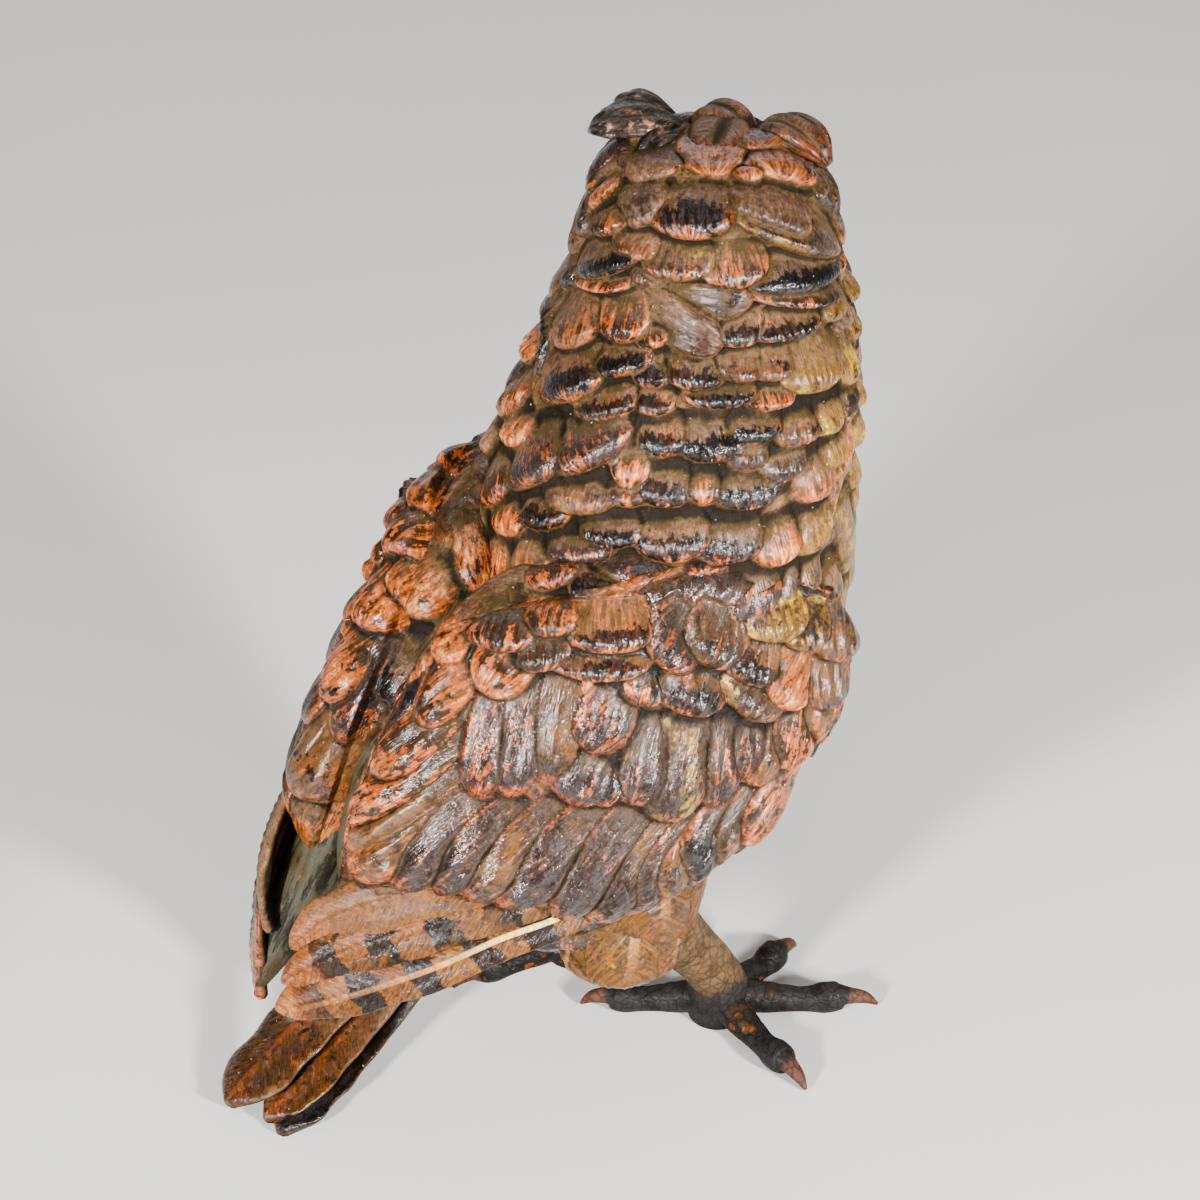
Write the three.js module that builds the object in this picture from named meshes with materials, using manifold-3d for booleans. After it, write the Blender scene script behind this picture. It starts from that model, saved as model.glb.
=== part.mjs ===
// Cold-painted bronze owl, one casting, in millimetres with Z up.
// The body faces -Y and the head is turned to the owl's own left, towards +X.
// It stands on the plane z = 0 by the soles of its feet and the tips of its tail feathers.
import * as THREE from 'three';
import { mergeVertices } from 'three/addons/utils/BufferGeometryUtils.js';
import Module from 'manifold-3d';

const wasm = await Module();
wasm.setup();

// Middle of the figure's outline seen from above, which becomes the origin
const ORIGIN = [-1.5, 33];

// Feather carving on the head, neck and body
const TRUNK_LOBES = 12;
const TRUNK_COLUMNS = 3;
const TRUNK_PITCH = 13.2;
const TRUNK_RELIEF = 3.6;
const BELLY_PITCH = 19;
const BELLY_START = 150;
const NECK_END = 60;

// Feather carving on the wing coverts
const WING_COLUMNS = 24;
const WING_RELIEF = 3.0;

// Head and face
const HEAD_TURN = 40;
const HEAD_CENTRE = [0, -17, 236];
const HEAD_RADIUS = 33;
const DISC_RADIUS = 15;
const EYE_RADIUS = 4.6;

// Feet: where the middle of each foot stands, the way it points, and the length of the middle toe.
// The toes are the middle, outer, inner and hind ones.
const RIGHT_FOOT = { x: -21, y: -10, turn: 32, spread: 1, toes: [0, 58, -47, 187] };
const LEFT_FOOT = { x: 24, y: 8, turn: -12, spread: -1, toes: [0, 46, -42, 159] };
const TOE_LENGTH = 45;
const TOE_SCALES = [1.02, 0.92, 0.82, 0.86];

// Edges shorter than this are merged into their neighbours
const SMALLEST_DETAIL = 0.6;

// Long feathers
const QUILL_THICKNESS = 1.8;
const TAIL_THICKNESS = 2.2;

// Trunk sections from the crown down: height, middle in Y, half width, depth in front, depth behind
const TRUNK = [
  [263, -18, 3, 3, 3],
  [262, -18, 13, 13, 12],
  [259, -17, 22, 22, 21],
  [253, -17, 27.5, 28.5, 27],
  [243, -17, 31, 31.5, 30.5],
  [228, -17, 34, 35, 34.5],
  [212, -14, 38.5, 40, 39],
  [195, -10, 42.5, 46, 43],
  [178, -5, 45, 50, 46],
  [160, -2, 47, 52.5, 49],
  [142, 1, 47, 55.5, 54],
  [122, 6, 46, 56, 60],
  [100, 13, 44, 51, 62],
  [78, 20, 41, 42, 52],
  [60, 25, 34, 31, 36],
  [48, 26, 25, 22, 25],
  [41, 27, 13, 12, 13],
  [38.5, 27, 3, 3, 3],
];

// Wing sections from the wrist back to the longest covert:
// upper edge, lower edge and outward bulge of the owl's right wing
const WING = [
  [0, -43, -29, 137, -43, -29, 131, -1, 0, 0],
  [0.06, -45, -26, 147, -46, -24, 119, -4, -3, 0],
  [0.2, -44, -11, 161, -48, -12, 103, -7, -1, 0],
  [0.36, -40, 14, 172, -49, 6, 87, -8, 1, 1],
  [0.5, -32, 42, 170, -49, 30, 82, -10, 6, 4],
  [0.62, -14, 62, 160, -47, 48, 83, -11, 8, 6],
  [0.74, -6, 77, 143, -42, 67, 90, -8, 8, 6],
  [0.86, -5, 89, 121, -29, 83, 93, -6, 7, 4],
  [0.96, -5, 98, 100, -14, 97, 88, -4, 5, 3],
  [1, -6, 101, 93, -8, 101, 88, 0, 1, 1],
];

// Folded fan of the flight feathers that the wing ends in, in the same way as the wing sections
const FAN = [
  [0, -8, 78, 126, -43, 44, 88, -4, 2, 2],
  [0.4, -6, 93, 104, -37, 76, 80, -5, 3, 2],
  [0.7, -5, 104, 82, -26, 97, 69, -4, 4, 2],
  [0.9, -5, 115, 64, -14, 112, 58, -2, 3, 1],
  [1, -5, 122, 54, -8, 121, 51, 0, 1, 0.5],
];

// Rows of wing coverts from the shoulder down: start and end across the wing, feathers along it,
// and how far each feather leans back, in feather widths
const COVERT_ROWS = [
  [0.04, 0.2, 10, 0.3],
  [0.2, 0.38, 10, 0.5],
  [0.38, 0.66, 6, 0.5],
  [0.66, 0.97, 7.5, 0.9],
];

// The left wing's flight feathers lie closer to the body and their tips hang lower, by this
// factor on their way out and this drop
const LEFT_TUCK = 0.82;
const LEFT_DROP = 6;

// Flight feathers of the right wing from the lowest up: widest half width, the middle line from
// under the coverts to the tip, and how far each point of it is pressed in against the fan
const QUILLS = [
  { half: 7.7, line: [[-44, 38, 90], [-46, 60.5, 86.5], [-46, 78.9, 87.9], [-40, 93.3, 82.1], [-31, 105.9, 74.8], [-19, 117, 65.8], [-6, 123, 56.2]], press: [0, 3, 8.5, 8.5, 7.5, 6, 0.5] },
  { half: 7.6, line: [[-43, 46, 96], [-44, 68.3, 94], [-41, 87.6, 94.6], [-33, 101, 89], [-23, 113, 81], [-8, 121.8, 66]], press: [0, 5, 9.5, 9.3, 9, 3] },
  { half: 7.4, line: [[-40, 54, 103], [-40, 74.8, 99.6], [-36.5, 90.2, 101.6], [-28.5, 103.4, 97.4], [-19, 113.6, 90], [-8, 118.6, 76]], press: [2, 6, 10, 11, 11, 4.5] },
];
const QUILL_OUTLINE = [[0, 0.9], [0.4, 1], [0.75, 0.95], [0.9, 0.7], [0.97, 0.4], [1, 0.1]];
const QUILL_FACE = [-0.75, 0.3, 0.55];
const PRESS_WAY = [-0.66, 0.39, 0.64];

// Tail feathers from the top one down to the lowest: widest half width and middle line
const TAIL_FEATHERS = [
  { half: 11, line: [[23, 64, 36], [28.8, 82.3, 20], [28.2, 97.4, 13.5], [26.2, 108.1, 8.5], [22.3, 124.7, 2.6]] },
  { half: 8, line: [[19, 60, 32], [22.6, 77, 14.5], [19.6, 91, 9], [15.5, 103, 5.5], [11.7, 119, 1.7]] },
  { half: 9, line: [[20, 56, 28], [22.3, 76, 10], [18.6, 88, 6.5], [14.2, 99, 4], [5.6, 118.2, 1]] },
];
const TAIL_OUTLINE = [[0, 0.7], [0.35, 0.9], [0.75, 1], [0.92, 0.78], [1, 0.15]];
const TAIL_FACE = [0, 0.5, 0.85];

const vec = (list) => new THREE.Vector3(...list);

// Smooth curve through rows of numbers, whose first column is the parameter
function curve(rows, t) {
  const last = rows.length - 1;
  const at = Math.min(Math.max(t, rows[0][0]), rows[last][0]);
  let k = 0;
  while (k < last - 1 && at > rows[k + 1][0]) k += 1;
  const slope = (i, c) => (rows[i + 1][c] - rows[i][c]) / (rows[i + 1][0] - rows[i][0]);
  const tangent = (i, c) => {
    if (i === 0) return slope(0, c);
    if (i === last) return slope(last - 1, c);
    const before = rows[i][0] - rows[i - 1][0];
    const after = rows[i + 1][0] - rows[i][0];
    return (slope(i, c) * before + slope(i - 1, c) * after) / (before + after);
  };
  const h = rows[k + 1][0] - rows[k][0];
  const s = (at - rows[k][0]) / h;
  const a = 2 * s ** 3 - 3 * s ** 2 + 1;
  const b = s ** 3 - 2 * s ** 2 + s;
  const d = s ** 3 - s ** 2;
  return rows[k].slice(1).map((value, i) => {
    const c = i + 1;
    return a * value + b * h * tangent(k, c) + (1 - a) * rows[k + 1][c] + d * h * tangent(k + 1, c);
  });
}

// Closed skin over rings of points, with a point at the middle of each end ring
function skin(rings) {
  const count = rings[0].length;
  const points = rings.flat();
  const middle = (ring) => ring.reduce((sum, p) => sum.add(p), new THREE.Vector3()).divideScalar(count);
  points.push(middle(rings[0]), middle(rings[rings.length - 1]));
  const first = points.length - 2;
  const end = points.length - 1;
  const index = [];
  for (let i = 0; i < rings.length - 1; i += 1) {
    for (let j = 0; j < count; j += 1) {
      const next = (j + 1) % count;
      const a = i * count + j;
      const b = i * count + next;
      const c = (i + 1) * count + next;
      const d = (i + 1) * count + j;
      index.push(a, b, c, a, c, d);
    }
  }
  const top = (rings.length - 1) * count;
  for (let j = 0; j < count; j += 1) {
    const next = (j + 1) % count;
    index.push(first, next, j);
    index.push(end, top + j, top + next);
  }
  const geometry = new THREE.BufferGeometry();
  geometry.setAttribute('position', new THREE.Float32BufferAttribute(points.flatMap((p) => p.toArray()), 3));
  geometry.setIndex(index);
  return geometry;
}

// Signed volume of a closed mesh, positive when its faces point outwards
function signedVolume(position, index) {
  const a = new THREE.Vector3();
  const b = new THREE.Vector3();
  const c = new THREE.Vector3();
  let sum = 0;
  for (let i = 0; i < index.length; i += 3) {
    a.fromArray(position, index[i] * 3);
    b.fromArray(position, index[i + 1] * 3);
    c.fromArray(position, index[i + 2] * 3);
    sum += a.dot(b.cross(c)) / 6;
  }
  return sum;
}

// Closed geometry as a solid, turned the right way out
function solid(geometry) {
  const bare = geometry.clone();
  bare.deleteAttribute('normal');
  bare.deleteAttribute('uv');
  const merged = mergeVertices(bare, 1e-4);
  const vertProperties = new Float32Array(merged.attributes.position.array);
  const triVerts = new Uint32Array(merged.index.array);
  if (signedVolume(vertProperties, triVerts) < 0) {
    for (let i = 0; i < triVerts.length; i += 3) {
      const keep = triVerts[i];
      triVerts[i] = triVerts[i + 1];
      triVerts[i + 1] = keep;
    }
  }
  return new wasm.Manifold(new wasm.Mesh({ numProp: 3, vertProperties, triVerts }));
}

// Outward direction of a surface given as a function of two parameters
function outward(surface, u, v, step, away) {
  const along = surface(u + step, v).sub(surface(u - step, v));
  const across = surface(u, v + step).sub(surface(u, v - step));
  const normal = along.cross(across).normalize();
  return normal.dot(away) < 0 ? normal.negate() : normal;
}

// Rounded lobe: full in the middle, none at the grooves at w = -1 and w = 1
const dome = (w) => 1 - w * w;

// Trunk surface: v is the way down in millimetres and a the angle from the owl's left
const trunkRows = [];
TRUNK.forEach((row, i) => {
  const before = TRUNK[i - 1];
  const step = i === 0 ? 0 : Math.hypot(row[0] - before[0], row[2] - before[2]);
  trunkRows.push([i === 0 ? 0 : trunkRows[i - 1][0] + step, ...row]);
});
const TRUNK_LENGTH = trunkRows[trunkRows.length - 1][0];

function trunk(v, a) {
  const [z, y, half, front, behind] = curve(trunkRows, v);
  const depth = Math.sin(a) < 0 ? front : behind;
  return new THREE.Vector3(half * Math.cos(a), y + depth * Math.sin(a), z);
}

// Head, neck and body covered with rows of round feather lobes, half a lobe apart from row to row
function buildTrunk() {
  const columns = TRUNK_LOBES * TRUNK_COLUMNS;
  const rings = [];
  let start = 5;
  let row = 0;
  const ring = (v, height, scallop) => {
    const points = [];
    for (let j = 0; j < columns; j += 1) {
      const turn = row % 2 === 0 ? 0 : TRUNK_COLUMNS / 2;
      const a = ((j + (row % 2) / 2) / columns) * Math.PI * 2;
      const place = (((a / (Math.PI * 2)) * columns - turn + columns) % TRUNK_COLUMNS) / TRUNK_COLUMNS;
      const w = place * 2 - 1;
      const at = Math.min(Math.max(v - scallop * w * w, 0.5), TRUNK_LENGTH - 0.5);
      const p = trunk(at, a);
      const away = new THREE.Vector3(p.x, p.y - trunk(at, 0).y, 0).normalize();
      if (at < 12) away.z = 3;
      const normal = outward(trunk, at, a, 0.02, away);
      points.push(p.addScaledVector(normal, height * dome(w)));
    }
    rings.push(points);
  };
  ring(start - 3, 0, 0);
  while (start < TRUNK_LENGTH - 12) {
    const low = start > BELLY_START;
    const pitch = low ? BELLY_PITCH : TRUNK_PITCH;
    const relief = TRUNK_RELIEF * Math.min(1, 0.4 + start / 40);
    ring(start + pitch * 0.05, relief * 0.2, 0);
    if (start < NECK_END) ring(start + pitch * 0.5, relief * 0.85, pitch * 0.2);
    ring(start + pitch * 1.02, relief, pitch * 0.5);
    start += pitch;
    row += 1;
  }
  ring(TRUNK_LENGTH - 5, 0, 0);
  return solid(skin(rings));
}

// Point of a flattened form given by sections with two edges and a bulge, such as the right wing:
// u runs along it and c round the section
function blade(sections, u, c) {
  const [dx, dy, dz, vx, vy, vz, bx, by, bz] = curve(sections, u);
  const power = (value) => Math.sign(value) * Math.abs(value) ** 0.8;
  const co = power(Math.cos(c));
  const si = power(Math.sin(c)) * (Math.sin(c) < 0 ? 1.2 : 1);
  return new THREE.Vector3(
    (dx + vx) / 2 + ((vx - dx) / 2) * co + bx * si,
    (dy + vy) / 2 + ((vy - dy) / 2) * co + by * si,
    (dz + vz) / 2 + ((vz - dz) / 2) * co + bz * si,
  );
}

const wing = (u, c) => blade(WING, u, c);

// Smooth fan under the ends of the coverts
function buildFan() {
  const rings = [];
  for (let i = 0; i <= 8; i += 1) {
    const points = [];
    for (let j = 0; j < 8; j += 1) points.push(blade(FAN, Math.min(i / 8, 0.99), (j / 8) * Math.PI * 2));
    rings.push(points);
  }
  return solid(skin(rings));
}

// Wing with its rows of coverts, laid out from the wrist to the tip
function buildWing() {
  const rings = [];
  const axis = (u) => wing(u, 0).add(wing(u, Math.PI)).multiplyScalar(0.5);
  for (let i = 0; i <= WING_COLUMNS; i += 1) {
    const points = [];
    const place = (q, height, feathers, slant, scallop) => {
      const even = Math.min(Math.max(i / WING_COLUMNS, 0.004), 0.996);
      const w = (((even * feathers) % 1) * 2 - 1);
      const u = Math.min(Math.max(even + slant / feathers, 0.004), 0.997);
      const c = Math.PI * (1 - (q - scallop * w * w));
      const p = wing(u, c);
      const away = p.clone().sub(axis(u));
      const normal = outward(wing, u, c, 0.002, away);
      const fade = Math.min(1, i / 3, (WING_COLUMNS - i) / 5);
      points.push(p.addScaledVector(normal, height * (0.15 + 0.85 * dome(w)) * fade));
    };
    COVERT_ROWS.forEach(([from, to, feathers, lean]) => {
      const span = to - from;
      place(from + span * 0.04, WING_RELIEF * 0.2, feathers, 0, 0);
      if (span > 0.2) place(from + span * 0.5, WING_RELIEF * 0.85, feathers, lean * 0.45, span * 0.1);
      place(from + span * 0.97, WING_RELIEF, feathers, lean, span * 0.3);
    });
    for (let k = 1; k <= 3; k += 1) {
      const u = Math.min(Math.max(i / WING_COLUMNS, 0.004), 0.997);
      points.push(wing(u, -Math.PI * (k / 4)));
    }
    rings.push(points);
  }
  return solid(skin(rings));
}

// Long feather: a flat lens section swept along a line, with its face turned to a given side.
// The outline gives its half width along it as a part of the widest.
function feather(line, half, outline, face, thickness, steps = 6, round = 6) {
  const path = new THREE.CatmullRomCurve3(line.map(vec));
  const rings = [];
  for (let i = 0; i <= steps; i += 1) {
    const t = 1 - (1 - i / steps) ** 1.3;
    const p = path.getPoint(t);
    const tangent = path.getTangent(t);
    const across = new THREE.Vector3().crossVectors(tangent, vec(face)).normalize();
    const normal = new THREE.Vector3().crossVectors(across, tangent);
    const wide = half * curve(outline, t)[0];
    const thick = Math.min(thickness, wide);
    const points = [];
    for (let j = 0; j < round; j += 1) {
      const a = (j / round) * Math.PI * 2;
      const q = p.clone().addScaledVector(across, wide * Math.cos(a));
      points.push(q.addScaledVector(normal, thick * Math.sin(a)));
    }
    rings.push(points);
  }
  return solid(skin(rings));
}

// Round limb along rows of parameter, x, y, z and radius, with even steps or a ring at each row
function limb(rows, steps, round, flat = 1, flatSide = [0, 0, 1]) {
  const rings = [];
  const places = steps > 0 ? Array.from({ length: steps + 1 }, (_, i) => i / steps) : rows.map((row) => row[0]);
  for (const t of places) {
    const [x, y, z, radius] = curve(rows, t);
    const before = vec(curve(rows, t - 0.01));
    const after = vec(curve(rows, t + 0.01));
    const tangent = after.sub(before).normalize();
    const across = new THREE.Vector3().crossVectors(tangent, vec(flatSide)).normalize();
    const normal = new THREE.Vector3().crossVectors(across, tangent);
    const points = [];
    for (let j = 0; j < round; j += 1) {
      const a = ((j + 0.5) / round) * Math.PI * 2;
      const p = new THREE.Vector3(x, y, z).addScaledVector(across, radius * Math.cos(a));
      points.push(p.addScaledVector(normal, radius * flat * Math.sin(a)));
    }
    rings.push(points);
  }
  return solid(skin(rings));
}

// One toe with a swollen end pad and a curved claw; turn is measured from straight ahead to the right
function toe(foot, turn, length) {
  const angle = THREE.MathUtils.degToRad(foot.turn + turn * foot.spread);
  const row = (t, s, z, radius) => [t, foot.x - Math.sin(angle) * s * length, foot.y - Math.cos(angle) * s * length, z, radius];
  return limb([
    row(0, 0, 7.4, 6),
    row(0.2, 0.2, 5.2, 4.7),
    row(0.4, 0.42, 4, 3.9),
    row(0.5, 0.55, 3.4, 3.6),
    row(0.6, 0.66, 3.7, 4.4),
    row(0.7, 0.75, 4.1, 4.1),
    row(0.8, 0.81, 4.3, 2.6),
    row(0.9, 0.92, 3.3, 1.8),
    row(1, 1, 0.8, 0.5),
  ], 0, 6);
}

// Leg from inside the thigh down to the foot, with four toes
function foot(place, hip) {
  const mix = (k) => [(hip[0] * (1 - k)) + place.x * k, (hip[1] * (1 - k)) + place.y * k];
  let shape = limb([
    [0, hip[0], hip[1], hip[2], 10],
    [0.35, ...mix(0.55), 31, 8],
    [0.65, ...mix(0.9), 17, 7.6],
    [0.85, place.x, place.y, 8, 8.8],
    [1, place.x, place.y, -2, 8],
  ], 6, 8, 1, [0, 1, 0]);
  place.toes.forEach((turn, i) => {
    shape = shape.add(toe(place, turn, TOE_LENGTH * TOE_SCALES[i]));
  });
  return shape;
}

// Feathered thigh: a drop with two rows of hanging lobes, which leans outwards and back towards
// its lower end by the given amounts
function thigh(x, y, lean, back) {
  const rings = [];
  const columns = 18;
  const section = (z, half, depth, relief, offset) => {
    const points = [];
    for (let j = 0; j < columns; j += 1) {
      const a = (j / columns) * Math.PI * 2;
      const w = ((((j + offset) % 3) / 3) * 2) - 1;
      const out = relief * dome(w);
      const down = relief > 2 ? -3 * dome(w) : 0;
      const low = (75 - z) / 45;
      const cx = x + lean * low + (half + out) * Math.cos(a);
      points.push(new THREE.Vector3(cx, y + back * low + (depth + out) * Math.sin(a), z + down));
    }
    rings.push(points);
  };
  section(86, 10, 14, 0, 0);
  section(74, 15, 19, 1, 0);
  section(60, 15, 18, 2.4, 0);
  section(59, 13.5, 16, 0.3, 1.5);
  section(52, 13, 15, 1.8, 1.5);
  section(43.5, 11, 12, 2.6, 1.5);
  section(42, 8, 9, 0, 0);
  return solid(skin(rings));
}

// Frame of the turned head: f points out of the face and s to the owl's left
const turn = THREE.MathUtils.degToRad(HEAD_TURN);
const f = new THREE.Vector3(Math.sin(turn), -Math.cos(turn), 0);
const s = new THREE.Vector3(Math.cos(turn), Math.sin(turn), 0);
const onHead = (side, out, z) => vec(HEAD_CENTRE).setZ(z).addScaledVector(s, side).addScaledVector(f, out);

// Facial disc: a shallow dish with a raised rim and a round eye in the middle
function disc(side) {
  const profile = [
    [0, EYE_RADIUS * 0.95], [EYE_RADIUS * 0.6, EYE_RADIUS * 0.75], [EYE_RADIUS, 1.4],
    [EYE_RADIUS + 1.6, 2.4], [EYE_RADIUS + 3.2, 0.8],
    [DISC_RADIUS * 0.92, 3.4], [DISC_RADIUS, 1.5], [DISC_RADIUS * 0.96, -9], [0, -9],
  ].map(([r, h]) => new THREE.Vector2(r, h));
  const geometry = new THREE.LatheGeometry(profile, 14);
  const out = f.clone().applyAxisAngle(new THREE.Vector3(0, 0, 1), side * 0.42);
  out.z = 0.05;
  geometry.applyQuaternion(new THREE.Quaternion().setFromUnitVectors(new THREE.Vector3(0, 1, 0), out.normalize()));
  const middle = onHead(side * 12.5, HEAD_RADIUS - 3.5, HEAD_CENTRE[2] + 1);
  geometry.translate(middle.x, middle.y, middle.z);
  return solid(geometry);
}

// Hooked beak between the discs
function beak() {
  const rows = [
    [0, 0, HEAD_RADIUS - 4, 240, 2.6],
    [0.3, 0, HEAD_RADIUS + 2, 236, 4.2],
    [0.65, 0, HEAD_RADIUS + 5.5, 229, 3.6],
    [1, 0, HEAD_RADIUS + 3, 221, 0.8],
  ].map(([t, side, out, z, radius]) => [t, ...onHead(side, out, z).toArray(), radius]);
  return limb(rows, 6, 8, 1, s.toArray());
}

// Ear tuft: a curled leaf that lies over the side of the brow and sticks out past it
function tuft(side) {
  const reach = side < 0 ? 0.93 : 1;
  const rows = [
    [0, side * 6, 25, 248, 5],
    [0.3, side * 14, 20, 255, 7],
    [0.6, side * 22, 13, 260, 6.6],
    [0.85, side * 29, 6, 260, 4],
    [1, side * 31.5, 2, 258, 1],
  ].map(([t, across, out, z, radius]) => [t, ...onHead(across * reach, out, z).toArray(), radius]);
  return limb(rows, 7, 6, 0.6);
}

// Lower back that runs down between the wings to the root of the tail
function rump() {
  return limb([
    [0, 2, 36, 150, 18],
    [0.3, 2, 50, 122, 21],
    [0.6, 4, 60, 92, 22],
    [0.85, 9, 66, 60, 18],
    [1, 17, 65, 35, 10],
  ], 7, 10, 0.75, [0, 1, 0.6]);
}

// Long feathers under the tail, from the belly back to the tail's root
function undertail() {
  return limb([
    [0, 2, 38, 62, 18],
    [0.5, 9, 56, 47, 15],
    [1, 20, 76, 26, 8],
  ], 4, 8, 0.9, [0, 1, 1]);
}

// Sunken web that closes the gap between the upper edges of the two wings
function web() {
  return limb([
    [0, 0, 50, 158, 7],
    [0.3, 0, 68, 137, 9],
    [0.6, 0, 81, 114, 10],
    [0.85, 0, 89, 94, 10],
    [1, 1, 91, 80, 8],
  ], 6, 8, 0.8, [0, 1, 0.6]);
}

const tuck = (points) => points.map(([x, y, z], i) => {
  const k = i / (points.length - 1);
  return [-x * LEFT_TUCK, y - 2, z - LEFT_DROP * k];
});
const rightWing = buildWing();
const fan = buildFan();
const parts = [buildTrunk(), rightWing, rightWing.mirror([1, 0, 0]), fan, fan.mirror([1, 0, 0]), rump(), web()];
QUILLS.forEach(({ half, line, press }) => {
  const [across, back, up] = QUILL_FACE;
  const pressed = line.map((point, i) => point.map((value, axis) => value - PRESS_WAY[axis] * press[i]));
  parts.push(feather(pressed, half, QUILL_OUTLINE, QUILL_FACE, QUILL_THICKNESS));
  parts.push(feather(tuck(line), half, QUILL_OUTLINE, [-across, back, up], QUILL_THICKNESS));
});
TAIL_FEATHERS.forEach(({ half, line }) => {
  parts.push(feather(line, half, TAIL_OUTLINE, TAIL_FACE, TAIL_THICKNESS));
});
parts.push(thigh(-22, 20, -3, 9), thigh(22, 20, 3, 9), undertail());
parts.push(foot(RIGHT_FOOT, [-23, 16, 52]), foot(LEFT_FOOT, [23, 20, 52]));
parts.push(disc(-1), disc(1), beak(), tuft(-1), tuft(1));

// One casting, cut flat where it stands
let owl = parts.reduce((whole, part) => whole.add(part));
const floor = new THREE.BoxGeometry(600, 600, 100);
floor.translate(0, 0, -50);
owl = owl.subtract(solid(floor)).simplify(SMALLEST_DETAIL);

// Small hollows that the overlapping forms shut in between them are filled
owl = wasm.Manifold.compose(owl.decompose().filter((body) => body.volume() > 0));

const mesh = owl.getMesh();
const geometry = new THREE.BufferGeometry();
geometry.setAttribute('position', new THREE.Float32BufferAttribute(mesh.vertProperties, 3));
geometry.setIndex(Array.from(mesh.triVerts));
geometry.translate(-ORIGIN[0], -ORIGIN[1], 0);
geometry.computeVertexNormals();

const bronze = new THREE.MeshStandardMaterial({ color: 0x7a4322, roughness: 0.42, metalness: 0.35 });
const figure = new THREE.Mesh(geometry, bronze);
figure.name = 'owl';

const group = new THREE.Group();
group.add(figure);
export default group;
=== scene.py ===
"""Cold-painted bronze owl: the feathers, paint and stage that dress the solid casting.

Every form is a surface worked out with numpy on a grid of two parameters.  The forms use
the same sections as the solid, in millimetres, and are written to Blender in metres.
"""
import functools
import math

import bpy
import numpy as np
from mathutils import Matrix, Vector


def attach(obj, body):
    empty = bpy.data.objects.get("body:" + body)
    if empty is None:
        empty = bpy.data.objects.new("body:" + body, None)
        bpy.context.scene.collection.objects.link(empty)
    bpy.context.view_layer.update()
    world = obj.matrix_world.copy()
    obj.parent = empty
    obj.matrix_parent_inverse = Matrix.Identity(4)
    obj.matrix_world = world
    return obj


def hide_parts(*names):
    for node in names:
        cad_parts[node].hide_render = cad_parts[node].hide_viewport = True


bl_info = {
    "name": "Painted Bronze Owl",
    "version": (1, 0, 0),
    "blender": (4, 5, 0),
    "location": "View3D > Sidebar > Owl",
    "description": "Builds the feathers, face, feet, paint and stage of a painted bronze owl",
    "category": "Add Mesh",
}

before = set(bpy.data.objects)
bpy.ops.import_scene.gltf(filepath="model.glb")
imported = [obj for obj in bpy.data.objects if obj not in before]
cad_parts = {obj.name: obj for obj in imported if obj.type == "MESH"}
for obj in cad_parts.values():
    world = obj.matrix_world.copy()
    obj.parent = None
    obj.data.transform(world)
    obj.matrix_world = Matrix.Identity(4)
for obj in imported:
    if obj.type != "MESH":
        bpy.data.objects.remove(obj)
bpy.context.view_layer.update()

# Millimetres in a metre, a number too small to matter, one beyond any size here, and the factors
# that turn the right wing into the left one
MILLI = 1000.0
TINY = 1e-6
FAR = 1e6
MIRROR = np.array([-1, 1, 1])

# Middle of the outline in the modelling coordinates of the sections below
ORIGIN = np.array([-1.5, 33.0, 0.0])

# Trunk sections from the crown down: height, middle in Y, half width, depth in front, depth behind
TRUNK = [
    (263, -18, 3, 3, 3),
    (262, -18, 13, 13, 12),
    (259, -17, 22, 22, 21),
    (253, -17, 27.5, 28.5, 27),
    (243, -17, 31, 31.5, 30.5),
    (228, -17, 34, 35, 34.5),
    (212, -14, 38.5, 40, 39),
    (195, -10, 42.5, 46, 43),
    (178, -5, 45, 50, 46),
    (160, -2, 47, 52.5, 49),
    (142, 1, 47, 55.5, 54),
    (122, 6, 46, 56, 60),
    (100, 13, 44, 51, 62),
    (78, 20, 41, 42, 52),
    (60, 25, 34, 31, 36),
    (48, 26, 25, 22, 25),
    (41, 27, 13, 12, 13),
    (38.5, 27, 3, 3, 3),
]

# Right wing sections from the wrist back: upper edge, lower edge and outward bulge
WING = [
    (0, -43, -29, 137, -43, -29, 131, -1, 0, 0),
    (0.06, -45, -26, 147, -46, -24, 119, -4, -3, 0),
    (0.2, -44, -11, 161, -48, -12, 103, -7, -1, 0),
    (0.36, -40, 14, 172, -49, 6, 87, -8, 1, 1),
    (0.5, -32, 42, 170, -49, 30, 82, -10, 6, 4),
    (0.62, -14, 62, 160, -47, 48, 83, -11, 8, 6),
    (0.74, -6, 77, 143, -42, 67, 90, -8, 8, 6),
    (0.86, -5, 89, 121, -29, 83, 93, -6, 7, 4),
    (0.96, -5, 98, 100, -14, 97, 88, -4, 5, 3),
    (1, -6, 101, 93, -8, 101, 88, 0, 1, 1),
]

# Folded fan of flight feathers under the coverts, given like the wing
FAN = [
    (0, -8, 78, 126, -43, 44, 88, -4, 2, 2),
    (0.4, -6, 93, 104, -37, 76, 80, -5, 3, 2),
    (0.7, -5, 104, 82, -26, 97, 69, -4, 4, 2),
    (0.9, -5, 115, 64, -14, 112, 58, -2, 3, 1),
    (1, -5, 122, 54, -8, 121, 51, 0, 1, 0.5),
]

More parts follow.
